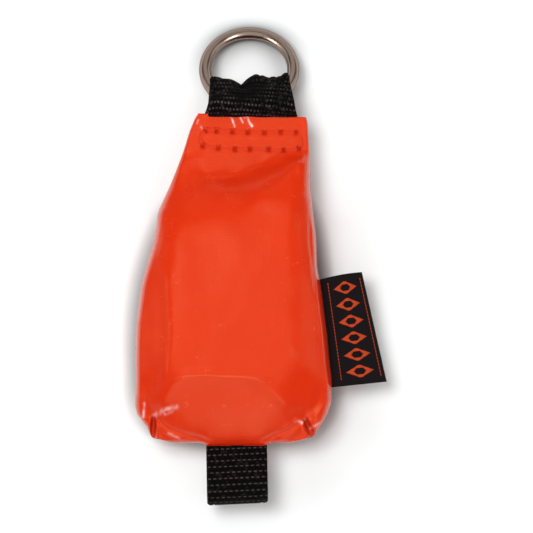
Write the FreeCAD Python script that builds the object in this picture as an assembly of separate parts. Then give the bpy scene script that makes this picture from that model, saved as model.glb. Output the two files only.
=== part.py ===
"""Arborist's throw weight: a tapered pouch of coated fabric filled with steel shot, with a welded ring
in a webbing loop at its top, a smaller open webbing loop at its bottom and a folded label in its side seam.

Frame: millimetres, +Z up. The pouch lies on its back. The origin is in the middle of the flat patch that it rests on,
+Y runs along the pouch towards the ring, +X is to the right of somebody who looks down at the front, and the floor is Z = 0.
"""
import FreeCAD
import Part
import math
import os

V = FreeCAD.Vector

# ---------------------------------------------------------------- driving dimensions
FABRIC = 0.9            # coated fabric thickness
LINER = 0.4             # liner fabric thickness
WEB_T = 1.3             # webbing thickness, one ply
ZM = 16.5               # height of the seam plane over the floor
SEAM_TOP_Y = 66.0       # the pouch's top edge
SEAM_HALF = 2.25        # half thickness of the sewn top hem: a webbing ply, a running gap and the fabric
POUCH_BOTTOM_Y = -40.3  # the pouch's bottom edge
SHOT_D = 5.5            # steel shot diameter
SHOT_PITCH = 5.56       # centre to centre
SHOT_LEVEL = 30.0       # the shot's upper limit while the pouch lies on its back

RING_R = 14.5           # ring, centreline radius (25 mm inside)
RING_WIRE = 2.0         # wire radius
WELD_WIRE = 2.12        # radius at the weld
RING_X, RING_Y, RING_Z = 4.3, 82.42, 9.85
RING_TILT = 32.0        # the ring slopes down from the hem to the floor

TOP_WEB_X, TOP_WEB_W = 4.9, 30.5      # top webbing: centre and width at the hem
TOP_WEB_W_FOLD = 26.4                 # its width at the fold, where the ring bunches it
TOP_SLOT = 2.45                       # half the pocket that takes the ring's wire
TOP_FOLD_D = 9.2                      # from the swing axis to where the fold starts
TOP_FOLD_HALF_X = 10.7                # the fold passes through the ring
TAIL_END_Y = 65.8

BOT_WEB_X, BOT_WEB_W = 0.2, 19.8      # bottom webbing
BOT_HINGE_Y = -42.1
BOT_DROOP = 8.0
BOT_EYE_D = 12.2                      # from the flex axis to the eye's centre
BOT_EYE_R = 4.3                       # the eye's inner radius

LABEL_ROOT_A = (28.15, 13.1)          # label's root line in the side seam, upper end
LABEL_ROOT_B = (32.65, -21.9)         # lower end
LABEL_TIP_A = (41.1, 15.7)            # label's folded edge, upper end
LABEL_TIP_B = (49.3, -20.3)           # lower end
LABEL_PLY = 0.35
LABEL_GAP = 0.15
LABEL_DROOP = 10.0

SILL = 2.25             # half thickness of the turned-in allowance at the bottom seam
STITCH_ROWS_Y = (61.5, 55.9)          # box stitch through hem and webbing
STITCH_HALF = 14.3
STITCH_COLS = 7
THREAD_R = 0.35
HOLE_R = 0.5

# outline of the pouch at the seam plane: (y, left x, right x)
OUTLINE = [
    (-40.3, -24.6, 23.0), (-39.0, -27.6, 26.2), (-37.0, -29.0, 28.0), (-34.0, -31.3, 30.0), (-30.0, -32.7, 31.2), (-25.0, -33.0, 31.6),
    (-15.0, -33.0, 30.9), (-5.0, -32.7, 29.7), (5.0, -31.6, 28.3), (13.0, -30.4, 27.3), (22.0, -27.8, 26.4),
    (30.0, -25.6, 25.6), (36.0, -24.6, 24.9), (42.0, -22.4, 24.5), (48.0, -19.9, 24.2), (55.0, -17.2, 24.0),
    (60.0, -15.2, 23.8), (66.0, -12.9, 23.2),
]
# height of the front and of the back along the middle: (y, front, back). Where the back is under 0 it is cut flat at the floor.
PROFILE = [
    (-40.3, ZM + 2.3, ZM - 2.3), (-39.0, ZM + 4.7, ZM - 5.6), (-37.0, ZM + 7.0, 7.9), (-34.0, ZM + 9.3, 4.2), (-28.0, ZM + 12.5, 0.4),
    (-22.0, ZM + 14.7, -0.7), (-17.0, ZM + 15.7, -0.9), (0.0, ZM + 16.0, -1.0), (14.0, ZM + 15.3, -0.8), (24.0, ZM + 13.7, 0.9),
    (33.0, ZM + 11.5, 4.2), (42.0, ZM + 7.9, 8.6), (48.0, ZM + 4.9, 11.6), (52.0, ZM + 3.2, ZM - 3.2), (56.5, ZM + 1.6, ZM - 1.6),
]
EXPONENT = [(-40.3, 3.0), (-34.0, 3.2), (0.0, 3.0), (33.0, 2.8), (56.5, 2.6)]


def along(table, y, k):
    """Monotone cubic interpolation of column k at y."""
    ys = [r[0] for r in table]
    vs = [r[k] for r in table]
    if y <= ys[0]:
        return vs[0]
    if y >= ys[-1]:
        return vs[-1]
    n = len(ys)
    d = [(vs[i + 1] - vs[i]) / (ys[i + 1] - ys[i]) for i in range(n - 1)]
    m = [d[0]] + [0.0 if d[i - 1] * d[i] <= 0 else 2 * d[i - 1] * d[i] / (d[i - 1] + d[i]) for i in range(1, n - 1)] + [d[-1]]
    i = max(j for j in range(n - 1) if ys[j] <= y)
    h = ys[i + 1] - ys[i]
    t = (y - ys[i]) / h
    return ((2 * t**3 - 3 * t**2 + 1) * vs[i] + (t**3 - 2 * t**2 + t) * h * m[i]
            + (-2 * t**3 + 3 * t**2) * vs[i + 1] + (t**3 - t**2) * h * m[i + 1])


def section(y, inset, inset_x, rounder=0.0, count=28):
    """A closed smooth wire across the pouch at y, drawn in by inset (and by inset_x at the sides)."""
    left, right = along(OUTLINE, y, 1) + inset_x, along(OUTLINE, y, 2) - inset_x
    up, down = along(PROFILE, y, 1) - ZM - inset, ZM - along(PROFILE, y, 2) - inset
    n = along(EXPONENT, y, 1) - rounder
    xc, a = (left + right) / 2, (right - left) / 2
    pts = []
    for i in range(count):
        t = 2 * math.pi * i / count
        c, s = math.cos(t), math.sin(t)
        x = xc + a * math.copysign(abs(c) ** (2 / n), c)
        z = ZM + (up if s >= 0 else down) * math.copysign(abs(s) ** (2 / n), s)
        pts.append(V(x, y, z))
    curve = Part.BSplineCurve()
    curve.interpolate(Points=pts, PeriodicFlag=True)
    return Part.Wire([curve.toShape()])


def loft(ys, inset, inset_x, rounder=0.0):
    return Part.makeLoft([section(y, inset, inset_x, rounder) for y in ys], True, False)


def box(x0, x1, y0, y1, z0, z1):
    return Part.makeBox(x1 - x0, y1 - y0, z1 - z0, V(x0, y0, z0))


def prism(points, z0, z1):
    """A closed outline in XY, drawn up from z0 to z1."""
    pts = [V(x, y, z0) for x, y in points]
    return Part.Face(Part.makePolygon(pts + [pts[0]])).extrude(V(0, 0, z1 - z0))


def one(shape):
    """The single solid in a shape: the largest, if a boolean left crumbs."""
    solids = sorted(shape.Solids, key=lambda s: -s.Volume)
    return solids[0]


def plane_map(origin, along_dir, normal_dir):
    """Maps (x, d, n) to space: x on X, d along along_dir and n along normal_dir, from origin."""
    def at(x, d, n):
        return V(x, origin.y + d * along_dir.y + n * normal_dir.y, origin.z + d * along_dir.z + n * normal_dir.z)
    return at


def capsule(a, b, r):
    d = b.sub(a)
    rod = Part.makeCylinder(r, d.Length, a, d)
    return one(rod.fuse([Part.makeSphere(r, a), Part.makeSphere(r, b)]).removeSplitter())


parts = {}

# ---------------------------------------------------------------- the pouch: outer shape, cavity and hem
OUTER_YS = [-40.3, -39.4, -37.6, -34.0, -28.0, -18.0, -4.0, 10.0, 21.0, 30.0, 38.0, 46.0, 52.0, 56.5]
body = one(loft(OUTER_YS, 0.0, 0.0))
hem_ys = [52.0, 55.0, 58.0, 61.0, 64.0, 66.0]
hem_outline = [(along(OUTLINE, y, 1) + 0.3, y) for y in hem_ys] + [(along(OUTLINE, y, 2) - 0.3, y) for y in reversed(hem_ys)]
hem = prism(hem_outline, ZM - SEAM_HALF, ZM + SEAM_HALF)
hem = hem.makeFillet(0.8, [e for e in hem.Edges if abs(e.BoundBox.ZMax - e.BoundBox.ZMin) < 1e-6 and e.BoundBox.YMax - e.BoundBox.YMin > 1.0])
outer = one(body.fuse(hem))
floor_cut = box(-80, 80, -80, 120, -20, 0.0)
outer = one(outer.cut(floor_cut))

CAVITY_YS = [-36.0, -34.0, -28.0, -18.0, -4.0, 10.0, 21.0, 30.0, 38.0, 46.0, 51.0]
cavity = one(loft(CAVITY_YS, FABRIC, FABRIC)).cut(box(-80, 80, -80, 120, -20, FABRIC))
cavity = one(cavity)
shell = outer.cut(cavity)

# slots that hold the ends of the two webbings
top_x0, top_x1 = TOP_WEB_X - TOP_WEB_W / 2, TOP_WEB_X + TOP_WEB_W / 2
bot_x0, bot_x1 = BOT_WEB_X - BOT_WEB_W / 2, BOT_WEB_X + BOT_WEB_W / 2
slot_top = box(top_x0 - 0.1, top_x1 + 0.1, 49.0, 70.0, ZM - WEB_T - 0.05, ZM + WEB_T + 0.05)
slot_bot = box(bot_x0 - 0.1, bot_x1 + 0.1, -45.0, -33.5, ZM - WEB_T - 0.05, ZM + WEB_T + 0.05)
shell = one(shell.cut(slot_top).cut(slot_bot))

# seam allowances: a strip of each panel turned inwards along both sides
FLAP_W = 5.0
flap_ys = [-34.0, -30.0, -25.0, -18.0, -8.0, 2.0, 12.0, 22.0, 30.0, 38.0, 45.0, 49.0]


def flap(side, z0, z1):
    k, sign = (1, 1) if side == "left" else (2, -1)
    edge = [(along(OUTLINE, y, k) + sign * 0.45, y) for y in flap_ys]
    inner = [(along(OUTLINE, y, k) + sign * (0.45 + FLAP_W * min(1.0, (49.5 - y) / 12.0 + 0.35)), y) for y in reversed(flap_ys)]
    return prism(edge + inner, z0, z1)


front = shell.cut(box(-80, 80, -80, 120, -20, ZM))
back = shell.cut(box(-80, 80, -80, 120, ZM, 60))
sill_front = box(-25.5, 23.5, -36.4, -33.95, ZM, ZM + SILL)
sill_back = box(-25.5, 23.5, -36.4, -33.95, ZM - SILL, ZM)
front = one(one(front).fuse([flap("left", ZM, ZM + FABRIC), flap("right", ZM, ZM + FABRIC), sill_front]).cut(slot_bot))
back = one(one(back).fuse([flap("left", ZM - FABRIC, ZM), flap("right", ZM - FABRIC, ZM), sill_back]).cut(slot_bot))

# the label's tail lies between the two panels in the right side seam
TAIL_IN = 4.2
root_dir = V(LABEL_ROOT_B[0] - LABEL_ROOT_A[0], LABEL_ROOT_B[1] - LABEL_ROOT_A[1], 0).normalize()
tail_y0, tail_y1 = LABEL_ROOT_B[1] + 0.4, LABEL_ROOT_A[1] - 0.4


def edge_strip(d0, d1, y0, y1, z0, z1):
    """A strip that follows the right side seam, from d0 to d1 outwards of the outline."""
    ys = [y0 + (y1 - y0) * i / 6 for i in range(7)]
    return prism([(along(OUTLINE, y, 2) + d0, y) for y in ys] + [(along(OUTLINE, y, 2) + d1, y) for y in reversed(ys)], z0, z1)


label_half = LABEL_PLY + LABEL_GAP / 2
label_slot = edge_strip(-TAIL_IN - 0.1, 2.0, tail_y0 - 0.1, tail_y1 + 0.1, ZM - label_half - 0.03, ZM + label_half + 0.03)
front = one(front.cut(label_slot))
back = one(back.cut(label_slot))
parts["label_tail"] = edge_strip(-TAIL_IN, -0.15, tail_y0, tail_y1, ZM - label_half, ZM + label_half)

# box stitch: needle holes through hem and webbing
cols = [TOP_WEB_X - STITCH_HALF + 2 * STITCH_HALF * i / (STITCH_COLS - 1) for i in range(STITCH_COLS)]
loop_pts = [(x, STITCH_ROWS_Y[0]) for x in cols] + [(x, STITCH_ROWS_Y[1]) for x in reversed(cols)]
holes = [Part.makeCylinder(HOLE_R, 12, V(x, y, ZM - 6), V(0, 0, 1)) for x, y in loop_pts]
front = one(front.cut(holes))
back = one(back.cut(holes))
parts["front_panel"] = front
parts["back_panel"] = back

# ---------------------------------------------------------------- webbing ends sewn into the hem and the bottom seam
top_front_ply = box(top_x0, top_x1, 51.6, TAIL_END_Y, ZM, ZM + WEB_T)
top_back_ply = box(top_x0, top_x1, 51.6, TAIL_END_Y, ZM - WEB_T, ZM)
parts["ring_webbing_tail_front"] = one(top_front_ply.cut(holes))
parts["ring_webbing_tail_back"] = one(top_back_ply.cut(holes))
bot_front_ply = box(bot_x0, bot_x1, -40.3, -34.2, ZM, ZM + WEB_T)
bot_back_ply = box(bot_x0, bot_x1, -40.3, -34.2, ZM - WEB_T, ZM)
parts["bottom_webbing_tail_front"] = bot_front_ply
parts["bottom_webbing_tail_back"] = bot_back_ply

# ---------------------------------------------------------------- box stitch threads: needle thread on the front, bobbin thread on the back


def lockstitch(points, z_face, z_mid, sign):
    """One closed run of thread: bars on the face from hole to hole, and a pin down each hole to the lock at mid thickness."""
    z_bar = z_face + sign * (THREAD_R + 0.03)
    at = [V(x, y, z_bar) for x, y in points]
    pieces = []
    for i, p in enumerate(at):
        q = at[(i + 1) % len(at)]
        pieces.append(Part.makeCylinder(THREAD_R, q.sub(p).Length, p, q.sub(p)))
        pieces.append(Part.makeSphere(THREAD_R + 0.05, p))
        pieces.append(Part.makeCylinder(THREAD_R, abs(z_bar - z_mid), p, V(0, 0, -sign)))
    return one(pieces[0].fuse(pieces[1:]))


parts["needle_thread_front"] = lockstitch(loop_pts, ZM + SEAM_HALF, ZM, 1)
parts["bobbin_thread_back"] = lockstitch(loop_pts, ZM - SEAM_HALF, ZM, -1)

# ---------------------------------------------------------------- side seam threads on the seam allowances


def seam_thread(side):
    k, sign = (1, 1) if side == "left" else (2, -1)
    found, y, length, gap = [], -31.0, 3.2, 1.6
    while y + length < 44.0:
        for z in (ZM + FABRIC + THREAD_R + 0.03, ZM - FABRIC - THREAD_R - 0.03):
            a = V(along(OUTLINE, y, k) + sign * 3.0, y, z)
            b = V(along(OUTLINE, y + length, k) + sign * 3.0, y + length, z)
            found.append(capsule(a, b, THREAD_R))
        y += length + gap
    return Part.makeCompound(found)


bottom_row, x = [], -24.0
while x + 3.2 < 22.5:
    for z in (ZM + SILL + THREAD_R + 0.03, ZM - SILL - THREAD_R - 0.03):
        bottom_row.append(capsule(V(x, -34.9, z), V(x + 3.2, -34.9, z), THREAD_R))
    x += 4.8
parts["bottom_seam_thread"] = Part.makeCompound(bottom_row)
parts["left_seam_thread"] = seam_thread("left")
parts["right_seam_thread"] = seam_thread("right")

# ---------------------------------------------------------------- liner pouch and the shot in it
LINER_GAP = 0.5
LINER_X = FABRIC + FLAP_W + 0.4
ROUNDER = 0.6           # the liner sags off the panel's corners
LINER_YS = [-32.6, -28.0, -18.0, -4.0, 10.0, 21.0, 30.0, 38.0, 43.0]
lo = one(loft(LINER_YS, FABRIC + LINER_GAP, LINER_X, ROUNDER).cut(box(-80, 80, -80, 120, -20, FABRIC + LINER_GAP)))
li = one(loft([-32.2, -28.0, -18.0, -4.0, 10.0, 21.0, 30.0, 38.0, 42.6], FABRIC + LINER_GAP + LINER, LINER_X + LINER, ROUNDER)
         .cut(box(-80, 80, -80, 120, -20, FABRIC + LINER_GAP + LINER)))
liner = lo.cut(li)
parts["liner_front"] = one(liner.cut(box(-80, 80, -80, 120, -20, ZM)))
parts["liner_back"] = one(liner.cut(box(-80, 80, -80, 120, ZM, 60)))


def room(y, x, z):
    """Share of the liner's inside that a point lies at: under 1 is inside."""
    inset = FABRIC + LINER_GAP + LINER + SHOT_D / 2 + 0.15
    left, right = along(OUTLINE, y, 1) + LINER_X + LINER + SHOT_D / 2 + 0.15, along(OUTLINE, y, 2) - LINER_X - LINER - SHOT_D / 2 - 0.15
    up, down = along(PROFILE, y, 1) - ZM - inset, ZM - max(along(PROFILE, y, 2), 0.0) - inset
    if right - left < 1 or up < 0.5 or down < 0.5:
        return 9.0
    n = along(EXPONENT, y, 1) - ROUNDER
    xc, a = (left + right) / 2, (right - left) / 2
    u, w = abs((x - xc) / a), abs((z - ZM) / (up if z >= ZM else down))
    return (u**n + w**n) ** (1 / n)


shot = []
layer = SHOT_PITCH * math.sqrt(2 / 3)
z, k = FABRIC + LINER_GAP + LINER + SHOT_D / 2 + 0.2, 0
while z < SHOT_LEVEL:
    row = 0
    y = -32.2 + SHOT_D / 2 + 0.2 + (SHOT_PITCH * math.sqrt(3) / 3 if k % 2 else 0.0)
    while y < 40.0:
        x = -36.0 + (SHOT_PITCH / 2 if row % 2 else 0.0) + (SHOT_PITCH / 2 if k % 2 else 0.0)
        while x < 36.0:
            if max(room(y + dy, x, z) for dy in (-2.6, 0.0, 2.6) if y + dy >= -32.2) < 1.0:
                shot.append(Part.makeSphere(SHOT_D / 2, V(x, y, z)))
            x += SHOT_PITCH
        y += SHOT_PITCH * math.sqrt(3) / 2
        row += 1
    z += layer
    k += 1
parts["steel_shot"] = Part.makeCompound(shot)
print("shot balls", len(shot), "mass g", round(len(shot) * math.pi / 6 * SHOT_D**3 * 7.85e-3, 1))

# ---------------------------------------------------------------- welded ring
tilt = math.radians(RING_TILT)
u_dir, n_dir = V(0, math.cos(tilt), -math.sin(tilt)), V(0, math.sin(tilt), math.cos(tilt))
centre = V(RING_X, RING_Y, RING_Z)
ring = Part.makeTorus(RING_R, RING_WIRE)
weld = Part.makeTorus(RING_R, WELD_WIRE, V(0, 0, 0), V(0, 0, 1), -180, 180, 12)
weld.rotate(V(0, 0, 0), V(0, 0, 1), -96)
ring = one(ring.fuse(weld))
ring.rotate(V(0, 0, 0), V(1, 0, 0), -RING_TILT)
ring.translate(centre)
parts["steel_ring"] = ring
hinge = V(0, RING_Y - RING_R * math.cos(tilt), RING_Z + RING_R * math.sin(tilt))
print("ring swing axis y z", round(hinge.y, 3), round(hinge.z, 3), "ring lowest", round(ring.BoundBox.ZMin, 3))

# ---------------------------------------------------------------- top webbing loop: a pocket round the ring's lower arc, folded over inside the ring
at = plane_map(hinge, u_dir, n_dir)
so, si, L = TOP_SLOT + WEB_T, TOP_SLOT, TOP_FOLD_D


def arc(x, c, r, a0, a1):
    p = [at(x, c + r * math.cos(math.radians(a)), r * math.sin(math.radians(a))) for a in (a0, (a0 + a1) / 2, a1)]
    return Part.Arc(*p).toShape()


def line(p, q):
    return Part.LineSegment(p, q).toShape()


x0 = TOP_WEB_X - TOP_WEB_W / 2
u_shape = Part.Wire([
    arc(x0, 0, so, 90, 270), line(at(x0, 0, -so), at(x0, L, -so)), line(at(x0, L, -so), at(x0, L, -si)),
    line(at(x0, L, -si), at(x0, 0, -si)), arc(x0, 0, si, 270, 90), line(at(x0, 0, si), at(x0, L, si)),
    line(at(x0, L, si), at(x0, L, so)), line(at(x0, L, so), at(x0, 0, so)),
])
legs = Part.Face(u_shape).extrude(V(TOP_WEB_W, 0, 0))
for s in (-1, 1):   # the webbing narrows towards the fold
    edge = TOP_WEB_X + s * TOP_WEB_W / 2
    tip = TOP_WEB_X + s * TOP_WEB_W_FOLD / 2
    wedge = Part.makePolygon([at(edge, 1.0, -9), at(edge + s * 3, 1.0, -9), at(edge + s * 3, L + 1, -9), at(tip, L + 1, -9), at(edge, 1.0, -9)])
    legs = legs.cut(Part.Face(wedge).extrude(n_dir * 18))
legs = one(legs)


def fold_curve(x, semi_d, semi_n):
    pts = [at(x, L - 0.02 + semi_d * math.cos(math.radians(a)), semi_n * math.sin(math.radians(a))) for a in range(-90, 91, 15)]
    curve = Part.BSplineCurve()
    curve.interpolate(Points=pts)
    return curve.toShape()


fx = RING_X - TOP_FOLD_HALF_X
fold_wire = Part.Wire([
    fold_curve(fx, 1.75, so), line(at(fx, L - 0.02, so), at(fx, L - 0.02, si)),
    fold_curve(fx, 0.5, si), line(at(fx, L - 0.02, -si), at(fx, L - 0.02, -so)),
])
fold = Part.Face(fold_wire).extrude(V(2 * TOP_FOLD_HALF_X, 0, 0))
parts["ring_webbing_loop"] = one(legs.fuse(fold))

# ---------------------------------------------------------------- bottom webbing loop: an open teardrop
droop = math.radians(BOT_DROOP)
b_origin = V(0, BOT_HINGE_Y, ZM)
b_dir, b_norm = V(0, -math.cos(droop), -math.sin(droop)), V(0, -math.sin(droop), math.cos(droop))
bat = plane_map(b_origin, b_dir, b_norm)
ro, ri, r0 = BOT_EYE_R + WEB_T, BOT_EYE_R, WEB_T
half = math.asin((ro - r0) / BOT_EYE_D)
bx = bot_x0


def barc(c, r, a0, a1):
    p = [bat(bx, c + r * math.cos(a), r * math.sin(a)) for a in (a0, (a0 + a1) / 2, a1)]
    return Part.Arc(*p).toShape()


def bpt(c, r, a):
    return bat(bx, c + r * math.cos(a), r * math.sin(a))


top_a = math.pi / 2 + half
outer_wire = Part.Wire([
    barc(0, r0, top_a, 2 * math.pi - top_a), line(bpt(0, r0, -top_a), bpt(BOT_EYE_D, ro, -top_a)),
    barc(BOT_EYE_D, ro, -top_a, top_a), line(bpt(BOT_EYE_D, ro, top_a), bpt(0, r0, top_a)),
])
s_in = 2.2
inner_wire = Part.Wire([
    line(bat(bx, s_in, -s_in * math.tan(half)), bpt(BOT_EYE_D, ri, -top_a)), barc(BOT_EYE_D, ri, -top_a, top_a),
    line(bpt(BOT_EYE_D, ri, top_a), bat(bx, s_in, s_in * math.tan(half))),
    line(bat(bx, s_in, s_in * math.tan(half)), bat(bx, s_in, -s_in * math.tan(half))),
])
solid_out = Part.Face(outer_wire).extrude(V(BOT_WEB_W, 0, 0))
solid_in = Part.Face(inner_wire).extrude(V(BOT_WEB_W, 0, 0))
parts["bottom_webbing_loop"] = one(solid_out.cut(solid_in))
eye = bat(0, BOT_EYE_D, 0)
print("bottom eye centre y z", round(eye.y, 3), round(eye.z, 3))

# ---------------------------------------------------------------- folded label in the right side seam, and its woven motif
la, lb = V(*LABEL_ROOT_A, 0), V(*LABEL_ROOT_B, 0)
ta, tb = V(*LABEL_TIP_A, 0), V(*LABEL_TIP_B, 0)
half_t = LABEL_PLY + LABEL_GAP / 2


def label_prism(pts, z0, z1):
    return prism([(p.x, p.y) for p in pts], z0, z1)


flat = label_prism([la, ta, tb, lb], -half_t, half_t)
inset_tip = ta.sub(la).normalize()
gap = label_prism([la.sub(inset_tip * 1), ta.sub(inset_tip * 0.45), tb.sub(inset_tip * 0.45), lb.sub(inset_tip * 1)], -LABEL_GAP / 2, LABEL_GAP / 2)
flap_solid = one(flat.cut(gap))
motif = []
run = tb.sub(ta)
edge_in = V(run.y, -run.x, 0).normalize()
if edge_in.dot(la.sub(ta)) < 0:
    edge_in = edge_in * -1
run_n = run.normalize()
length = tb.sub(ta).Length


def on_label(s, w):
    """A point on the label: s along the folded edge from its upper end, w inwards from it."""
    return ta + run_n * s + edge_in * w


for i in range(7):      # a column of plain woven diamonds
    c, a, b = 5.0 + i * (length - 10.0) / 6, 1.7, 2.6
    motif.append(label_prism([on_label(c - a, 7.2), on_label(c, 7.2 - b), on_label(c + a, 7.2), on_label(c, 7.2 + b)], half_t + 0.0, half_t + 0.12))
for w in (2.4, 12.0):   # and a line on each side of it
    motif.append(label_prism([on_label(3.0, w - 0.35), on_label(3.0, w + 0.35), on_label(length - 3.0, w + 0.35), on_label(length - 3.0, w - 0.35)], half_t, half_t + 0.12))


def set_label(shape):
    """Turns a flat label shape down about its root and lifts it to the seam."""
    shape.rotate(la, lb.sub(la), -LABEL_DROOP)
    shape.translate(V(0, 0, ZM))
    return shape


parts["folded_label"] = set_label(flap_solid)
parts["label_motif_thread"] = Part.makeCompound([set_label(m) for m in motif])

# ---------------------------------------------------------------- write
os.makedirs("parts", exist_ok=True)
for old in os.listdir("parts"):
    os.remove(os.path.join("parts", old))
for name, shape in parts.items():
    solids = shape.Solids
    bad = [i for i, s in enumerate(solids) if not s.isValid() or s.Volume <= 0]
    bb = shape.BoundBox
    print(f"{name}: {len(solids)} solids, {sum(s.Volume for s in solids):.1f} mm3, x {bb.XMin:.2f}..{bb.XMax:.2f} y {bb.YMin:.2f}..{bb.YMax:.2f} z {bb.ZMin:.2f}..{bb.ZMax:.2f}", "BAD " + str(bad) if bad else "")
    shape.exportStep(f"parts/{name}.step")
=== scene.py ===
import math

import bpy
import numpy as np
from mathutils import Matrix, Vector


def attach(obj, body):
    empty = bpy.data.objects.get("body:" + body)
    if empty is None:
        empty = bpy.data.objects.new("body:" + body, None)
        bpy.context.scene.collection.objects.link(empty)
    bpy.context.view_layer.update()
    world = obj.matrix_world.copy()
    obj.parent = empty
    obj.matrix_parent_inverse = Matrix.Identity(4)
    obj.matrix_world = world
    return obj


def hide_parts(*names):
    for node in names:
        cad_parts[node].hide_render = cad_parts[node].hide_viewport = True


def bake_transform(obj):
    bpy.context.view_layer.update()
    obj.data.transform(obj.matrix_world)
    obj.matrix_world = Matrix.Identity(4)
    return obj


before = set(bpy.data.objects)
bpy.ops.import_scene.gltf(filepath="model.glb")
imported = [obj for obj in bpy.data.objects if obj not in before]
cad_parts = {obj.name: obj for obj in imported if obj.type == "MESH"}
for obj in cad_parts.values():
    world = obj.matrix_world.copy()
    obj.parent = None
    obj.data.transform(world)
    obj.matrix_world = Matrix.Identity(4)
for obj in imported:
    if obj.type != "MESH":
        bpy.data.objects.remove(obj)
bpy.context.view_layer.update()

MM = 0.001
ZM = 16.5                      # height of the seam plane, mm
TILT = math.radians(32.0)      # slope of the ring
HINGE = np.array([70.1233, 17.5338])   # y, z of the ring's wire in the webbing pocket
RING_X, RING_R = 4.3, 14.5

scene = bpy.context.scene
scene.view_settings.view_transform = "Standard"
scene.view_settings.look = "None"

# ------------------------------------------------------------------ camera: straight above, long lens
camera_data = bpy.data.cameras.new("camera")
camera = bpy.data.objects.new("camera", camera_data)
scene.collection.objects.link(camera)
scene.camera = camera
CAM_D = 1.25
VIEW_W = 533 * 0.3275 * MM
camera.location = (9.99 * MM, 17.52 * MM, ZM * MM + CAM_D)
camera.rotation_euler = (0, 0, 0)
camera_data.sensor_width = 36.0
camera_data.lens = 36.0 * CAM_D / VIEW_W
camera_data.clip_start, camera_data.clip_end = 0.05, 20.0

# ------------------------------------------------------------------ helpers


def smooth(a, b, x):
    t = np.clip((x - a) / (b - a), 0.0, 1.0)
    return t * t * (3 - 2 * t)


def table(rows, x):
    """Monotone cubic interpolation of [(x, v), ...] at x."""
    rows = sorted(rows)
    xs, vs = np.array([r[0] for r in rows], float), np.array([r[1] for r in rows], float)
    h, d = np.diff(xs), np.diff(vs) / np.diff(xs)
    m = np.zeros(len(xs))
    m[0], m[-1] = d[0], d[-1]
    for i in range(1, len(xs) - 1):
        m[i] = 0.0 if d[i - 1] * d[i] <= 0 else 2 * d[i - 1] * d[i] / (d[i - 1] + d[i])
    x = np.clip(x, xs[0], xs[-1])
    i = np.clip(np.searchsorted(xs, x) - 1, 0, len(h) - 1)
    t = (x - xs[i]) / h[i]
    return ((2 * t**3 - 3 * t**2 + 1) * vs[i] + (t**3 - 2 * t**2 + t) * h[i] * m[i]
            + (-2 * t**3 + 3 * t**2) * vs[i + 1] + (t**3 - t**2) * h[i] * m[i + 1])


def hash01(i, j, seed):
    n = (i.astype(np.int64) * 374761393 + j.astype(np.int64) * 668265263 + seed * 1442695041) & 0xFFFFFFFF
    n = ((n ^ (n >> 13)) * 1274126177) & 0xFFFFFFFF
    return ((n ^ (n >> 16)) & 0xFFFF) / 65535.0


def value_noise(x, y, seed=0):
    """Smooth noise from -1 to 1 with a feature size of 1."""
    i, j = np.floor(x), np.floor(y)
    u, v = x - i, y - j
    u, v = u * u * u * (u * (u * 6 - 15) + 10), v * v * v * (v * (v * 6 - 15) + 10)
    a, b = hash01(i, j, seed), hash01(i + 1, j, seed)
    c, d = hash01(i, j + 1, seed), hash01(i + 1, j + 1, seed)
    return 2 * ((a * (1 - u) + b * u) * (1 - v) + (c * (1 - u) + d * u) * v) - 1


def polyline_dist(x, y, pts):
    """Distance to a polyline and the share along it of the nearest point."""
    pts = np.array(pts, float)
    seg = np.linalg.norm(np.diff(pts, axis=0), axis=1)
    total, run = seg.sum(), 0.0
    best = np.full(x.shape, 1e9)
    at = np.zeros(x.shape)
    for k in range(len(pts) - 1):
        a, b = pts[k], pts[k + 1]
        ab = b - a
        t = np.clip(((x - a[0]) * ab[0] + (y - a[1]) * ab[1]) / (ab @ ab), 0, 1)
        d = np.hypot(x - a[0] - t * ab[0], y - a[1] - t * ab[1])
        near = d < best
        best = np.where(near, d, best)
        at = np.where(near, (run + t * seg[k]) / total, at)
        run += seg[k]
    return best, at


def smooth_line(pts, n=40):
    """A Catmull-Rom line through points."""
    p = np.array(pts, float)
    p = np.vstack([2 * p[0] - p[1], p, 2 * p[-1] - p[-2]])
    out = []
    for k in range(1, len(p) - 2):
        for t in np.linspace(0, 1, max(2, n // (len(p) - 3)), endpoint=False):
            a, b, c, d = p[k - 1], p[k], p[k + 1], p[k + 2]
            out.append(0.5 * ((2 * b) + (c - a) * t + (2 * a - 5 * b + 4 * c - d) * t**2 + (3 * b - a - 3 * c + d) * t**3))
    out.append(p[-2])
    return np.array(out)


class ThinPlate:
    """A smooth height field through scattered (x, y, z) points."""

    def __init__(self, pts, soft=0.0):
        p = np.array(pts, float)
        self.xy, z, n = p[:, :2] / 30.0, p[:, 2], len(p)
        k = self.kernel(self.xy[:, None, :] - self.xy[None, :, :]) + soft * np.eye(n)
        q = np.hstack([np.ones((n, 1)), self.xy])
        a = np.vstack([np.hstack([k, q]), np.hstack([q.T, np.zeros((3, 3))])])
        self.w = np.linalg.solve(a, np.concatenate([z, np.zeros(3)]))

    @staticmethod
    def kernel(d):
        r2 = (d**2).sum(-1)
        return 0.5 * r2 * np.log(r2 + 1e-12)

    def __call__(self, x, y):
        shape = x.shape
        q = np.stack([x.ravel(), y.ravel()], 1) / 30.0
        out = np.empty(len(q))
        n = len(self.xy)
        for s in range(0, len(q), 20000):
            b = q[s:s + 20000]
            out[s:s + 20000] = self.kernel(b[:, None, :] - self.xy[None, :, :]) @ self.w[:n] + self.w[n] + b @ self.w[n + 1:]
        return out.reshape(shape)


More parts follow.
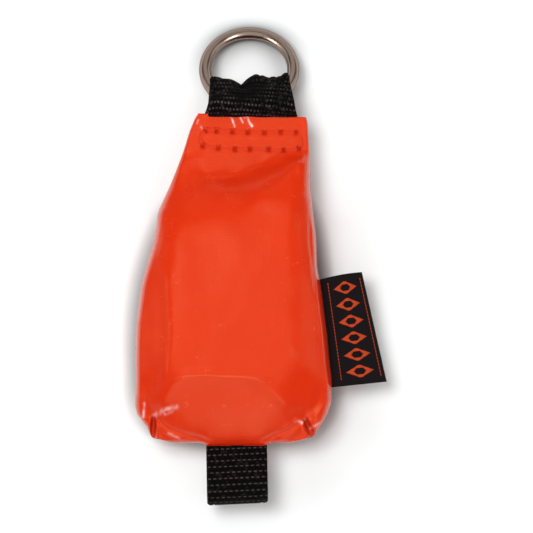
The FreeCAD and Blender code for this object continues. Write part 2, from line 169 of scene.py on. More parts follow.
def make_mesh(name, verts, quads, uv=None, extra=None):
    """A smooth-shaded mesh object from millimetre vertices; uv is one pair per vertex."""
    verts, quads = np.asarray(verts, float) * MM, np.asarray(quads, np.int32)
    mesh = bpy.data.meshes.new(name)
    mesh.vertices.add(len(verts))
    mesh.vertices.foreach_set("co", verts.ravel())
    mesh.loops.add(quads.size)
    mesh.loops.foreach_set("vertex_index", quads.ravel())
    mesh.polygons.add(len(quads))
    mesh.polygons.foreach_set("loop_start", np.arange(0, quads.size, 4, dtype=np.int32))
    mesh.polygons.foreach_set("loop_total", np.full(len(quads), 4, dtype=np.int32))
    if uv is not None:
        layer = mesh.uv_layers.new(name="weave")
        layer.data.foreach_set("uv", np.asarray(uv, float)[quads.ravel()].ravel())
    for key, vals in (extra or {}).items():
        attr = mesh.attributes.new(key, "FLOAT", "POINT")
        attr.data.foreach_set("value", np.asarray(vals, float))
    mesh.update(calc_edges=True)
    mesh.polygons.foreach_set("use_smooth", np.ones(len(quads), dtype=bool))
    obj = bpy.data.objects.new(name, mesh)
    scene.collection.objects.link(obj)
    return obj


def grid_quads(m, n, start=0, flip=False):
    i, j = np.meshgrid(np.arange(m - 1), np.arange(n - 1), indexing="ij")
    a = start + i * n + j
    q = np.stack([a, a + 1, a + n + 1, a + n], -1).reshape(-1, 4)
    return q[:, ::-1] if flip else q


def slab(name, centre, normal, half, across, along_s, relief=None):
    """A closed strap or sheet: an M x N grid of centres with unit normals, half thickness (N), and a weave relief."""
    m, n, _ = centre.shape
    lift = half[None, :] * np.ones((m, 1))
    up = relief if relief is not None else 0.0
    top = centre + normal * (lift + up)[..., None]
    low = centre - normal * (lift + up)[..., None]
    verts = np.vstack([top.reshape(-1, 3), low.reshape(-1, 3)])
    q = [grid_quads(m, n), grid_quads(m, n, m * n, True)]
    k = m * n
    i = np.arange(m - 1)
    for j, turn in ((0, False), (n - 1, True)):
        a = i * n + j
        s = np.stack([a, a + n, k + a + n, k + a], -1)
        q.append(s[:, ::-1] if turn else s)
    j = np.arange(n - 1)
    for r, turn in ((0, True), (m - 1, False)):
        a = r * n + j
        s = np.stack([a, a + 1, k + a + 1, k + a], -1)
        q.append(s if turn else s[:, ::-1])
    uv = np.stack([np.broadcast_to(across, (m, n)), along_s], -1).reshape(-1, 2)
    return make_mesh(name, verts, np.vstack(q), uv=np.vstack([uv, uv + [0.0, 400.0]]))


def bspline(ctrl, count):
    """Uniform cubic B-spline with clamped ends through (K, ..., D) control points."""
    c = np.concatenate([ctrl[:1]] * 2 + [ctrl] + [ctrl[-1:]] * 2)
    k = len(c) - 3
    t = np.linspace(0, k - 1e-9, count)
    i = t.astype(int)
    f = (t - i).reshape((-1,) + (1,) * (ctrl.ndim - 1))
    return ((1 - f)**3 * c[i] + (3 * f**3 - 6 * f**2 + 4) * c[i + 1]
            + (-3 * f**3 + 3 * f**2 + 3 * f + 1) * c[i + 2] + f**3 * c[i + 3]) / 6


def tube_set(name, paths, radius, sides=10, flat=1.0):
    """Many rounded threads, each a list of points with its own taper at the ends."""
    verts, quads = [], []
    base = 0
    for path in paths:
        p = np.asarray(path, float)
        m = len(p)
        tan = np.gradient(p, axis=0)
        tan /= np.linalg.norm(tan, axis=1)[:, None] + 1e-12
        ref = np.array([0.0, 0.0, 1.0]) if abs(tan[m // 2][2]) < 0.8 else np.array([1.0, 0.0, 0.0])
        side = np.cross(tan, ref)
        side /= np.linalg.norm(side, axis=1)[:, None] + 1e-12
        up = np.cross(side, tan)
        s = np.linspace(0, 1, m)
        r = radius * np.sqrt(np.clip(1 - np.clip((np.abs(2 * s - 1) - 0.86) / 0.14, 0, 1)**2, 0.02, 1))
        for k in range(sides):
            a = 2 * math.pi * k / sides
            verts.append(p + side * (r * math.cos(a))[:, None] + up * (r * flat * math.sin(a))[:, None])
        i, k = np.meshgrid(np.arange(m - 1), np.arange(sides), indexing="ij")
        a, b = base + k * m + i, base + ((k + 1) % sides) * m + i
        quads.append(np.stack([a, a + 1, b + 1, b], -1).reshape(-1, 4))
        base += m * sides
    return make_mesh(name, np.vstack(verts), np.vstack(quads))


# ------------------------------------------------------------------ pouch outline, mm
LEFT = [(66.4, -12.6), (65.6, -13.2), (63.0, -14.4), (61.6, -15.0), (55.7, -17.0), (49.8, -19.3), (43.9, -21.7), (38.0, -24.4), (34.6, -25.7), (30.5, -26.2), (26.2, -27.0),
        (18.3, -29.2), (10.5, -31.2), (2.6, -32.2), (-5.2, -32.9), (-13.1, -33.0), (-21.0, -32.9), (-26.9, -33.1), (-30.2, -32.6), (-33.2, -30.6),
        (-35.4, -29.0), (-37.6, -28.0), (-38.5, -27.3), (-39.2, -25.0), (-40.0, -22.0), (-40.3, -19.8)]
RIGHT = [(66.4, 23.1), (65.5, 23.4), (61.6, 23.7), (55.7, 24.0), (49.8, 24.3), (43.9, 24.4), (38.0, 25.0), (34.1, 25.4), (26.2, 26.3), (18.3, 26.6), (10.5, 27.9),
         (2.6, 28.9), (-5.2, 29.9), (-13.1, 30.6), (-21.0, 31.4), (-26.0, 31.3), (-29.0, 30.6), (-32.5, 29.0), (-35.6, 27.0), (-37.9, 25.4), (-38.8, 23.6),
         (-39.6, 20.6), (-40.3, 17.8)]


def xl(y):
    return table(LEFT, y)


def xr(y):
    return table(RIGHT, y)


# heights of the front over the seam plane, as if the side faces ran on to the outline
FRONT_POINTS = [
    (-33, 0, 8), (-30, 0, 9.6), (-26, 0, 12.6), (-21.6, 0, 15.3), (-12, 0, 15.9), (0, 0, 16.0), (10, 0, 15.9), (18, 0, 15.1), (23, 0, 13.0), (27, 0, 10.2), (29.7, 0, 7.8),
    (-31, 14, 8), (-27, 14, 11.3), (-22.6, 14, 14.5), (-12, 14, 15.2), (0, 14, 15.4), (10, 14, 15.3), (18, 14, 14.6), (23, 14, 12.4), (27.5, 14, 8.8),
    (-28, 25, 7), (-24, 25, 11.8), (-12, 25, 13.9), (0, 25, 14.7), (10, 25, 14.7), (19, 25, 13.6), (23.5, 25, 10.6), (26.5, 25, 7.8),
    (-26, 35, 6.2), (-22, 35, 9.4), (-12, 35, 11.6), (0, 35, 12.7), (10, 35, 13.2), (19, 35, 12.5), (23, 35, 9.4), (25.5, 35, 6.8),
    (-23, 42, 4.6), (-19, 42, 6.4), (-12, 42, 7.4), (-3, 42, 8.8), (8, 42, 11.0), (16, 42, 11.3), (21, 42, 9.7), (24.6, 42, 6.0),
    (-21, 47, 3.6), (-16, 47, 4.0), (-8, 47, 3.6), (0, 47, 3.7), (8, 47, 6.2), (15, 47, 8.9), (20, 47, 8.5), (24.4, 47, 5.0),
    (-19, 51, 2.8), (-14, 51, 3.0), (-8, 51, 2.7), (0, 51, 2.5), (8, 51, 2.7), (14, 51, 4.6), (19, 51, 6.9), (22, 51, 6.4), (24.2, 51, 4.0),
    (-17.5, 55, 1.9), (-12, 55, 2.5), (-5, 55, 2.4), (5, 55, 2.3), (12, 55, 2.3), (18, 55, 2.6), (22, 55, 2.9), (24, 55, 2.0),
    (-15.5, 60, 1.4), (-5, 60, 2.3), (5, 60, 2.3), (15, 60, 2.3), (23.8, 60, 1.4), (-13, 66, 1.2), (5, 66, 2.3), (23.5, 66, 1.2),
    (-33, -10, 8), (-30, -10, 9.6), (-26, -10, 12.7), (-22.2, -10, 15.1), (-12, -10, 16.0), (0, -10, 16.1), (9, -10, 16.0), (18, -10, 15.2), (23, -10, 13.1), (27.5, -10, 10.2), (30.5, -10, 7.8),
    (-33, -17, 7.5), (-29, -17, 9.9), (-25, -17, 12.7), (-22, -17, 14.7), (-16, -17, 15.8), (-8, -17, 15.9), (0, -17, 15.9), (7, -17, 15.8), (13, -17, 15.1), (19, -17, 13.9), (24, -17, 11.9), (28, -17, 9.7), (31, -17, 7.5),
    (-33, -22, 6.8), (-29.5, -22, 8.6), (-26, -22, 11.0), (-22.5, -22, 13.1), (-15, -22, 13.9), (-5, -22, 14.1), (4, -22, 14.0), (10, -22, 13.9), (14, -22, 13.6), (19, -22, 12.4), (24, -22, 10.6), (28.5, -22, 8.4), (31.3, -22, 6.8),
    (-33, -27, 6.0), (-30.5, -27, 7.0), (-27.6, -27, 8.8), (-24, -27, 10.7), (-15, -27, 11.6), (-5, -27, 12.0), (5, -27, 11.9), (12, -27, 11.6), (17, -27, 11.0), (21, -27, 9.7), (25, -27, 8.3), (29, -27, 7.0), (31.2, -27, 6.0),
    (-32.8, -31, 5.3), (-30, -31, 5.6), (-27.2, -31, 6.0), (-23, -31, 8.2), (-15, -31, 9.5), (-5, -31, 10.1), (5, -31, 10.0), (12, -31, 9.3), (17, -31, 8.4), (20, -31, 7.4), (22.2, -31, 6.3), (26, -31, 6.2), (30, -31, 5.4),
    (-29.8, -35, 4.4), (-26.8, -35, 4.2), (-22, -35, 5.8), (-15, -35, 7.1), (-5, -35, 7.9), (5, -35, 7.7), (12, -35, 6.9), (18, -35, 5.7), (23.3, -35, 4.3), (27.8, -35, 4.2),
    (-27.2, -38.6, 3.0), (-23, -38.6, 3.3), (-15, -38.6, 4.3), (-5, -38.6, 5.0), (5, -38.6, 4.9), (12, -38.6, 4.2), (18, -38.6, 3.5), (24.6, -38.6, 2.9),
    (-20, -40.8, 2.2), (0, -40.8, 2.5), (19, -40.8, 2.2),
]
front_field = ThinPlate(FRONT_POINTS, 0.0004)

# folds: (line, height, width, share of the line over which each end fades)
FOLDS = [
    ([(-24.2, 24.0), (-22.4, 10.0), (-21.5, 0.0), (-22.0, -10.0), (-23.6, -18.5), (-26.6, -27.2)], 0.38, 2.7, 0.22),     # left ridge
    ([(-25.6, 21.0), (-24.4, 8.0), (-23.9, -2.0), (-24.5, -12.0), (-26.8, -21.0), (-28.6, -28.0)], -0.32, 2.0, 0.25),   # the side face's hollow beside it
    ([(-26.2, -29.0), (-23.0, -23.2), (-18.6, -19.0), (-12.0, -17.7), (-4.0, -18.0), (4.0, -18.6), (9.0, -20.4), (14.0, -24.6), (20.0, -31.0)], 0.62, 2.3, 0.10),   # ridge over the bottom face
    ([(20.6, 31.0), (19.6, 18.0), (19.0, 4.0), (19.2, -8.0), (20.4, -18.0), (22.0, -28.0)], 0.10, 3.6, 0.25),           # right ridge
    ([(23.4, 36.0), (24.0, 31.0), (24.3, 24.0), (25.3, 15.0), (26.4, 6.0)], -0.75, 0.55, 0.25),                         # crease beside the right seam
    ([(24.6, 35.0), (25.4, 26.0), (26.2, 16.0)], 0.35, 0.6, 0.25),
    ([(-26.4, -31.6), (-21.5, -35.4), (-14.0, -38.0), (-5.0, -39.2), (4.0, -39.2), (11.0, -38.2), (17.0, -35.8), (22.0, -32.4)], -0.45, 0.95, 0.10),   # foot of the bottom face
    ([(-26.4, -33.0), (-21.8, -36.9), (-15.5, -39.0)], 0.50, 0.85, 0.2),                                                # rolled strips outside it
    ([(21.9, -34.0), (18.0, -37.0), (13.0, -39.2)], 0.50, 0.85, 0.2),
    ([(21.6, -31.6), (18.4, -33.6), (14.6, -36.4)], 0.28, 0.8, 0.25),
    ([(22.8, 55.6), (16.0, 52.4), (8.0, 50.0), (-1.0, 46.9), (-9.0, 45.2)], -0.30, 1.8, 0.25),                          # foot of the slope under the hem
    ([(-14.0, 53.5), (-10.0, 47.0), (-9.0, 42.0)], -0.20, 1.4, 0.3),
    ([(-17.5, 52.0), (-14.0, 45.0), (-13.0, 38.0)], 0.22, 1.6, 0.3),
    ([(20.0, 53.0), (21.8, 46.0), (22.4, 38.0)], 0.25, 1.3, 0.3),
    ([(-27.4, -30.0), (-29.5, -24.0), (-30.2, -17.0)], -0.28, 1.2, 0.3),
    ([(23.2, -31.0), (26.5, -26.0), (28.4, -19.0)], -0.35, 1.4, 0.3),
    ([(24.4, -33.5), (27.6, -29.5), (29.8, -26.0)], 0.25, 0.9, 0.3),
    ([(-3.0, 30.0), (6.0, 22.0), (9.0, 10.0)], 0.10, 4.0, 0.3),
]
# the tucks at the bottom corners: line, depth, half width
TUCKS = [
    ([(-26.7, -30.6), (-26.9, -33.5), (-27.0, -36.0), (-27.3, -39.4)], 2.6, 0.95),
    ([(22.2, -31.7), (23.2, -34.0), (24.3, -36.2), (25.6, -39.4)], 2.6, 1.20),
]
# needle holes of the two rows of stitching, mm
HOLES = [(-9.92, 61.73), (-6.42, 61.67), (-1.15, 61.41), (3.9, 61.31), (9.3, 61.31), (14.64, 61.6), (19.68, 61.41),
         (-10.81, 56.79), (-5.76, 56.17), (-0.26, 55.81), (4.55, 55.81), (10.71, 55.81), (15.62, 55.48), (20.57, 56.04)]
WEB_LEFT, WEB_RIGHT = -10.35, 20.15


def hem_height(x, y):
    """The sewn hem: webbing between the panels in the middle, the panels together at both ends."""
    inside = smooth(WEB_LEFT - 2.4, WEB_LEFT + 0.6, x) * (1 - smooth(WEB_RIGHT - 0.6, WEB_RIGHT + 2.0, x))
    h = 1.85 + 0.4 * inside
    h += 0.08 * np.sin((y - 55.9) / 5.6 * math.pi) * (y > 55.9) * (y < 61.5) * inside
    h += 0.05 * value_noise(x / 4.1, y / 3.2, 5) + 0.012 * value_noise(x / 1.3, y / 1.1, 6)
    return h


def front_height(x, y):
    field = front_field(x, y)
    wide = value_noise(x / 11.0, y / 13.0, 1) * 0.16 + value_noise(x / 5.0 + 3, y / 6.5, 2) * 0.07
    field = field + wide * smooth(60, 45, y)
    hem = smooth(52.0, 56.8, y)
    field = field * (1 - hem) + hem_height(x, y) * hem
    left, right = x - xl(y), xr(y) - x
    low = y + 40.3
    reach = 2.1 - 1.2 * smooth(46, 60, y)
    for line, height, width, fade in FOLDS:
        d, at = polyline_dist(x, y, smooth_line(line))
        f = smooth(0, fade, at) * (1 - smooth(1 - fade, 1, at))
        field = field + height * f * np.exp(-(d / width)**2)
    rounding = 1.0
    for gap, r in ((left, reach), (right, reach), (low, 1.4)):
        rounding = rounding * np.sqrt(np.clip(1 - np.clip(1 - gap / r, 0, 1)**2, 0, 1))
    # little puckers along the side seams
    near = np.exp(-np.minimum(left, right) / 1.6) * smooth(58, 50, y)
    field = field + near * 0.55 * value_noise(y / 2.7 + 40 * (left > right), left * 0 + 0.3, 9) * smooth(-41, -36, y)
    h = field * rounding
    for k, (line, depth, width) in enumerate(TUCKS):
        d, at = polyline_dist(x, y, smooth_line(line))
        f = smooth(0.0, 0.22, at)
        h = h + 0.55 * smooth(0.0, 0.3, at) * np.exp(-((d - 1.25) / 0.7)**2) * np.clip(h / 2.0, 0, 1)
        h = h - depth * f * np.exp(-np.abs(d / (width * (0.5 + 0.5 * smooth(0, 0.6, at))))**4) * np.clip(h / 3.0, 0, 1)
    for hx, hy in HOLES:
        r = np.hypot(x - hx, y - hy)
        h = h - 0.40 * np.exp(-(r / 0.88)**4) - 0.14 * np.exp(-(r / 1.7)**2)
    # stitched rows pull the hem in a little
    for row in (HOLES[:7], HOLES[7:]):
        d, _ = polyline_dist(x, y, row)
        h = h - 0.16 * np.exp(-(d / 0.9)**2)
    return h


ROWS, COLS = 300, 232
k = np.linspace(0, 1, ROWS)
row_y = -40.3 + 106.7 * (k + 0.55 * (np.exp(-k / 0.035) - 1) * 0.035)
row_y = -40.3 + (row_y - row_y[0]) * (106.7 / (row_y[-1] - row_y[0]))
s = np.linspace(0, 1, COLS)
spread = 0.62 * (1 - np.cos(math.pi * s)) / 2 + 0.38 * s
edge = (1 - np.cos(math.pi * s)) / 2
spread = np.where((s < 0.06) | (s > 0.94), edge, spread)
spread = 0.5 * ((1 - np.cos(math.pi * s)) / 2) + 0.5 * (s + 0.0)
# finer towards both seams, where the cloth turns over
warp = smooth(0, 0.12, s) * (1 - smooth(0.88, 1, s))
spread = edge * (1 - warp) + spread * warp
spread = np.maximum.accumulate(spread)
X = xl(row_y)[:, None] + (xr(row_y) - xl(row_y))[:, None] * spread[None, :]
Y = np.repeat(row_y[:, None], COLS, 1)
# the top edge runs slightly down to the right, as it was cut
slant = smooth(50, 66, Y)
Y_out = Y + slant * (0.85 - (X + 13) * 0.036)
# and the bottom edge bellies out over the webbing
Y_out = Y_out - 0.85 * smooth(-12.0, -8.8, X) * (1 - smooth(8.6, 12.0, X)) * smooth(-33.0, -40.3, Y)
H = front_height(X, Y)
print("front height", H.min(), H.max())
# the bottom seam is closed, but for the slot that the webbing comes out of
slot = 0.05 + 1.40 * smooth(-10.9, -10.0, X) * (1 - smooth(10.4, 11.3, X)) * smooth(-36.5, -39.3, Y)
H = np.maximum(H, slot)


def pull_in_seam(X, H, sign):
    """The panels meet in a shallow groove at the seam."""
    X, H = X.copy(), H.copy()
    X[:, 0] += 0.55
    X[:, -1] -= 0.55
    H[:, 0] = H[:, -1] = 0.03
    return X, H


# painted highlights, pale streaks where light glints on the hem and at the bottom corners: (line, half width, strength)
PAINTED_HIGHLIGHTS = [
    ([(-1.7, 66.9), (-1.0, 64.9), (-0.4, 63.3)], 0.24, 0.85), ([(1.1, 67.0), (1.7, 65.6), (2.3, 64.6)], 0.22, 0.9),
    ([(3.6, 66.6), (4.3, 64.8), (5.3, 63.4)], 0.30, 1.0), ([(2.5, 66.8), (2.9, 65.9)], 0.20, 0.8),
    ([(-12.4, 65.4), (-12.7, 64.2)], 0.24, 0.7), ([(-11.4, 63.2), (-11.0, 62.6)], 0.25, 0.5), ([(-26.4, -31.0), (-24.4, -29.6), (-21.6, -28.6), (-19.4, -28.1)], 0.75, 0.36),
    ([(-23.0, -30.4), (-20.4, -29.6)], 0.5, 0.35),
    ([(19.6, -32.6), (21.6, -33.4)], 0.42, 0.8),
    ([(-29.8, -27.0), (-30.2, -31.6)], 0.40, 0.45),
    ([(24.4, -35.4), (27.2, -33.6)], 0.40, 0.40), ([(-22.0, -36.8), (-18.6, -38.6)], 0.35, 0.35),
]


def painted_highlight_map(x, y):
    out = np.zeros(x.shape)
    for line, width, strength in PAINTED_HIGHLIGHTS:
        d, at = polyline_dist(x, y, line)
        streak_breakup = 0.62 + 0.55 * value_noise(x / 0.9 + 3, y / 1.3, 51) + 0.4 * value_noise(x / 2.2, y / 2.6, 52)
        out = np.maximum(out, strength * np.exp(-(d / width)**2) * np.clip(streak_breakup, 0, 1))
    return out


def pit_shade_map(x, y):
    """Where the cloth is pierced or tucked in, so its face is in shade."""
    out = np.zeros(x.shape)
    for k, (hx, hy) in enumerate(HOLES):
        r = np.hypot((x - hx) * (0.85 + 0.1 * (k % 3)), y - hy) * (1 + 0.25 * value_noise(x / 0.5, y / 0.5, 61 + k))
        out = np.maximum(out, np.exp(-(r / 0.86)**4))
    for line, depth, width in TUCKS:
        d, at = polyline_dist(x, y, smooth_line(line))
        out = np.maximum(out, 0.35 * smooth(0.05, 0.35, at) * np.exp(-(d / (width * (0.6 + 0.4 * at)))**4))
    return out


def panel(name, X, Y, Z_of, hem_rows):
    """Joins the hem's rolled-in edge to a panel's grid and makes the mesh."""
    Z = Z_of
    verts = np.stack([X, Y, Z], -1)
    verts = np.concatenate([verts, hem_rows], 0)
    m, n, _ = verts.shape
    flip = name.endswith("front")
    wear_and_highlight, pit_shade = np.zeros((m, n)), np.zeros((m, n))
    pit_shade[:Y.shape[0]] = pit_shade_map(X, Y)
    if flip:
        wear_and_highlight[:Y.shape[0]] = painted_highlight_map(X, Y)
    return make_mesh(name, verts.reshape(-1, 3), grid_quads(m, n, 0, not flip), extra={"wear_and_highlight": wear_and_highlight.ravel(), "pit_shade": pit_shade.ravel()})


def rolled_edge(X, Y, Z, sign, inner):
    """The hem's end: a small rolled fold and the turned-in layer under it."""
    top = np.stack([X[-1], Y[-1], Z[-1]], -1)
    drop = np.minimum(0.9, np.abs(Z[-1] - inner))
    rows = []
    for a in (35, 70, 110, 145, 180):
        r = math.radians(a)
        p = top.copy()
        p[:, 1] += 0.42 * math.sin(r)
        p[:, 2] -= sign * drop * (1 - math.cos(r)) / 2
        rows.append(p)
    for back in (1.5, 4.0, 9.0):
        p = top.copy()
        p[:, 1] -= back
        p[:, 2] -= sign * drop
        rows.append(p)
    return np.stack(rows)


Xf, Hf = pull_in_seam(X, H, 1)
Zf = ZM + Hf
front = panel("pouch_front", Xf, Y_out, Zf, rolled_edge(Xf, Y_out, Zf, 1, ZM + 0.05))

# back: fuller, flat where it lies on the ground
BACK_DEPTH = [(-40.3, 2.3), (-39.6, 4.4), (-38.6, 6.4), (-37.0, 8.8), (-34.0, 12.4), (-28.0, 16.2), (-22.0, 17.1), (-10, 17.4), (0.0, 17.4), (14.0, 17.2), (24.0, 15.5),
              (33.0, 12.2), (42.0, 7.9), (48.0, 4.9), (52.0, 3.2), (56.5, 2.25), (66.4, 2.25)]
mid, half_w = (xl(Y) + xr(Y)) / 2, (xr(Y) - xl(Y)) / 2
u = np.clip(np.abs(X - mid) / half_w, 0, 1)
expo = 3.0
depth = table(BACK_DEPTH, Y) * (1 - u**expo)**(1 / expo)
folds_b = 0.0
for line, height, width, fade in [
        ([(-26, 26), (-22, 12), (-20, -4), (-21, -16), (-26, -30)], 0.5, 2.2, 0.25),
        ([(22, 30), (19, 14), (19, -4), (20, -18), (24, -31)], 0.5, 2.2, 0.25),
        ([(-14, 50), (-9, 42), (-8, 33)], -0.5, 2.2, 0.3), ([(18, 50), (12, 43), (10, 34)], -0.45, 2.2, 0.3),
        ([(-26.5, -32), (-20, -36), (-12, -38.6)], -0.4, 1.2, 0.2), ([(22.6, -32), (17, -36.4), (11, -38.8)], -0.4, 1.2, 0.2)]:
    d, at = polyline_dist(X, Y, smooth_line(line))
    folds_b = folds_b + height * smooth(0, fade, at) * (1 - smooth(1 - fade, 1, at)) * np.exp(-(d / width)**2)
depth = depth + (folds_b + 0.2 * value_noise(X / 9.0 + 7, Y / 11.0, 21) + 0.09 * value_noise(X / 4.0, Y / 5.0, 22)) * np.clip(depth / 5, 0, 1)
left, right = X - xl(Y), xr(Y) - X
near = np.exp(-np.minimum(left, right) / 1.6) * smooth(58, 50, Y)
depth = depth + near * 0.5 * value_noise(Y / 2.9 + 17 + 40 * (left > right), X * 0 + 0.3, 29) * np.clip(depth / 2, 0, 1)
hem = smooth(52.0, 56.8, Y)
depth = depth * (1 - hem) + (hem_height(X, Y) * np.sqrt(np.clip(1 - np.clip(1 - np.minimum(left, right) / 0.9, 0, 1)**2, 0, 1))) * hem
for line, cut, width in TUCKS:
    d, at = polyline_dist(X, Y, smooth_line(line))
    depth = depth - 3.0 * smooth(0.1, 0.7, at) * np.exp(-np.abs(d / (width * 1.1))**2.6) * np.clip(depth / 3.0, 0, 1)
for hx, hy in HOLES:
    r = np.hypot(X - hx, Y - hy)
    depth = depth - 1.0 * np.exp(-(r / 0.62)**2.4) - 0.2 * np.exp(-(r / 1.6)**2)
depth = depth * np.sqrt(np.clip(1 - np.clip(1 - (Y + 40.3) / 1.8, 0, 1)**2, 0, 1))
depth = np.maximum(depth, slot)
Xb, Db = pull_in_seam(X, depth, -1)
Zb = ZM - Db
Zb = 0.5 * (Zb + np.sqrt(Zb**2 + 0.35))     # it settles on the ground
Zb = np.where(Zb < 1.4, Zb - 0.02, Zb)
back = panel("pouch_back", Xb, Y_out, Zb, rolled_edge(Xb, Y_out, Zb, -1, ZM - 0.05))
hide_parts("front_panel")
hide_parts("back_panel")
for obj in (front, back):
    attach(obj, "pouch")

# ------------------------------------------------------------------ ring webbing: one strap from inside the hem, over the wire, round the fold and back
U, N_ = np.array([math.cos(TILT), -math.sin(TILT)]), np.array([math.sin(TILT), math.cos(TILT)])


def to_world(d, n):
    return HINGE[0] + d * U[0] + n * N_[0], HINGE[1] + d * U[1] + n * N_[1]


def to_local(y, z):
    dy, dz = y - HINGE[0], z - HINGE[1]
    return dy * U[0] + dz * U[1], dy * N_[0] + dz * N_[1]


PLY = 1.3
cols = 118
t = np.linspace(-1, 1, cols)
FOLD_Y = [(-8.8, 79.4), (-8.4, 79.6), (-5.0, 79.1), (-2.0, 78.8), (0.8, 78.2), (2.0, 77.7), (3.2, 78.9), (4.6, 79.9), (7.2, 80.2), (10.5, 79.6), (13.0, 79.7), (14.6, 80.0), (16.2, 80.9), (17.4, 80.4)]


def strap_top():
    ctrl = []
    # columns slide from the hem's width to the fold's width
    x_hem_f = -9.3 + (20.2 + 9.3) * (t + 1) / 2
    x_hem_b = -10.4 + (19.6 + 10.4) * (t + 1) / 2
    x_fold = -8.5 + (17.4 + 8.5) * (t + 1) / 2
    fold_y = table(FOLD_Y, x_fold) + 0.42 * value_noise(x_fold / 1.1, x_fold * 0 + 0.5, 71) + 0.12 * value_noise(x_fold / 2.1, x_fold * 0 + 2.5, 72)
    fold_d = (fold_y - HINGE[0]) / U[0] - 2.8
    puff = 0.35 * value_noise(x_fold / 3.4, x_fold * 0 + 1.7, 3)
    inside = smooth(12.9, 9.5, np.abs(x_fold - RING_X))
    sag = inside * (0.35 + 2.3 * np.exp(-((x_fold - 1.6) / 2.5)**2) + 0.5 * np.exp(-((x_fold - 11.0) / 2.0)**2))

    def add(x, d, n):
        y, z = to_world(d, n)
        ctrl.append(np.stack([x, y * np.ones(cols), z * np.ones(cols)], -1))

    def add_world(x, y, z):
        ctrl.append(np.stack([x, y * np.ones(cols), z * np.ones(cols)], -1))

    one = np.ones(cols)
    add_world(x_hem_f, 60.0 * one, (ZM + 0.72) * one)
    add_world(x_hem_f, 63.0 * one, (ZM + 0.72) * one)
    add_world(x_hem_f, 65.4 * one, (ZM + 0.74) * one)
    add_world(x_hem_f, 66.6 * one, (ZM + 1.15 + 0.25 * value_noise(x_hem_f / 4, one, 4)))
    w = 0.25
    add(x_hem_f * (1 - w) + x_fold * w, -3.1 * one, (1.6 + 0.2 * value_noise(x_hem_f / 5, one, 8)))
    w = 0.35
    add(x_hem_f * (1 - w) + x_fold * w, -1.2 * one, (3.55 + 0.25 * value_noise(x_hem_f / 4.2, one, 14)))
    for d0, w in ((1.2, 0.5), (3.2, 0.65), (5.2, 0.8), (7.2, 0.95)):
        d = d0 * (fold_d + 0.6) / 9.2
        depth_in = smooth(0.4, 3.2, 12.5 - np.hypot(x_fold - RING_X, d - 14.5))
        fold = 0.45 * value_noise(x_fold / 3.2 + d * 0.35, d * one / 2.6, 31) + 0.2 * value_noise(x_fold / 1.7, d * one / 1.6, 32)
        n = 3.25 + np.maximum(fold, -0.12) - depth_in * sag
        add(x_hem_f * (1 - w) + x_fold * w, d * one, n)
    n_end = 3.2 - sag * 0.9
    add(x_fold, fold_d + 0.1, n_end + puff + 0.35)
    add(x_fold, fold_d + 1.55 + 0.25 * puff, n_end * 0.45)
    add(x_fold, fold_d + 1.5, -n_end * 0.45)
    add(x_fold, fold_d - 0.1, -(n_end + 0.3))
    for d0, w in ((7.0, 0.95), (5.0, 0.8), (3.0, 0.6), (1.0, 0.4)):
        d = d0 * (fold_d + 0.6) / 9.2
        depth_in = smooth(0.4, 3.2, 12.5 - np.hypot(x_fold - RING_X, d - 14.5))
        n = -(3.22 + 0.25 * np.maximum(value_noise(x_fold / 4, d * one / 3, 33), -0.1) - depth_in * sag * 0.6)
        add(x_hem_b * (1 - w) + x_fold * w, d * one, n)
    add(x_hem_b, -1.0 * one, -3.5 * one)
    add_world(x_hem_b, 66.9 * one, (ZM - 0.9) * one)
    add_world(x_hem_b, 65.4 * one, (ZM - 0.74) * one)
    add_world(x_hem_b, 63.0 * one, (ZM - 0.72) * one)
    add_world(x_hem_b, 60.0 * one, (ZM - 0.72) * one)
    return np.stack(ctrl)


def strap_from(name, ctrl, rows, ply, rib_pitch, rib_h, shear=None, edge_soft=0.9, anchor=0.5, beads=False):
    """A woven strap along control rows (K, columns, 3), with ribs across it."""
    c = bspline(ctrl, rows)
    m, n, _ = c.shape
    along = np.gradient(c, axis=0)
    across = np.gradient(c, axis=1)
    normal = np.cross(across, along)
    normal /= np.linalg.norm(normal, axis=2)[..., None] + 1e-12
    step = np.linalg.norm(np.diff(c, axis=0), axis=2)
    length = np.vstack([np.zeros((1, n)), np.cumsum(step, 0)])
    length = length - length[int(m * anchor)][None, :]
    # every column keeps the same weave from the middle of the strap outwards
    width = np.linalg.norm(np.diff(c, axis=1), axis=2)
    width = np.hstack([np.zeros((m, 1)), np.cumsum(width, 1)])[m // 8]
    s_mm = length + (shear(c) if shear is not None else 0.0)
    d_edge = np.minimum(width, width[-1] - width)
    half = ply / 2 * np.sqrt(np.clip(1 - np.clip(1 - d_edge / edge_soft, 0, 1)**2, 0.02, 1)) - rib_h * 0.5
    ph = s_mm / rib_pitch
    rib = np.abs(np.sin(math.pi * ph))**0.55
    warp = 0.5 + 0.5 * np.cos(2 * math.pi * width / 0.885)[None, :]
    relief = rib_h * rib * (0.8 + 0.2 * warp) * smooth(0.0, 0.6, d_edge)[None, :]
    if beads:      # tubular selvedge
        relief = relief - 0.20 * np.exp(-((d_edge - 2.1) / 0.28)**2)[None, :]
    return slab(name, c, normal, np.maximum(half, 0.05), np.broadcast_to(width, (m, n)), s_mm, relief), c, length


def top_shear(c):
    x = c[..., 0]
    return 0.55 * np.maximum(x - 3.0, 0) * 0.10 * 2 + 0.5 * value_noise(x / 6.0, c[..., 1] / 7.0, 41)


ring_strap, ring_c, ring_len = strap_from("ring_webbing", strap_top(), 250, PLY, 1.62, 0.24, top_shear, anchor=0.1)
print("ring strap length", ring_len.max() - ring_len.min())
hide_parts("ring_webbing_loop", "ring_webbing_tail_front", "ring_webbing_tail_back")
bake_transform(ring_strap)

# ------------------------------------------------------------------ bottom webbing: one strap, an open teardrop
droop = math.radians(8.0)
BU, BN = np.array([-math.cos(droop), -math.sin(droop)]), np.array([-math.sin(droop), math.cos(droop)])
BH = np.array([-42.1, ZM])


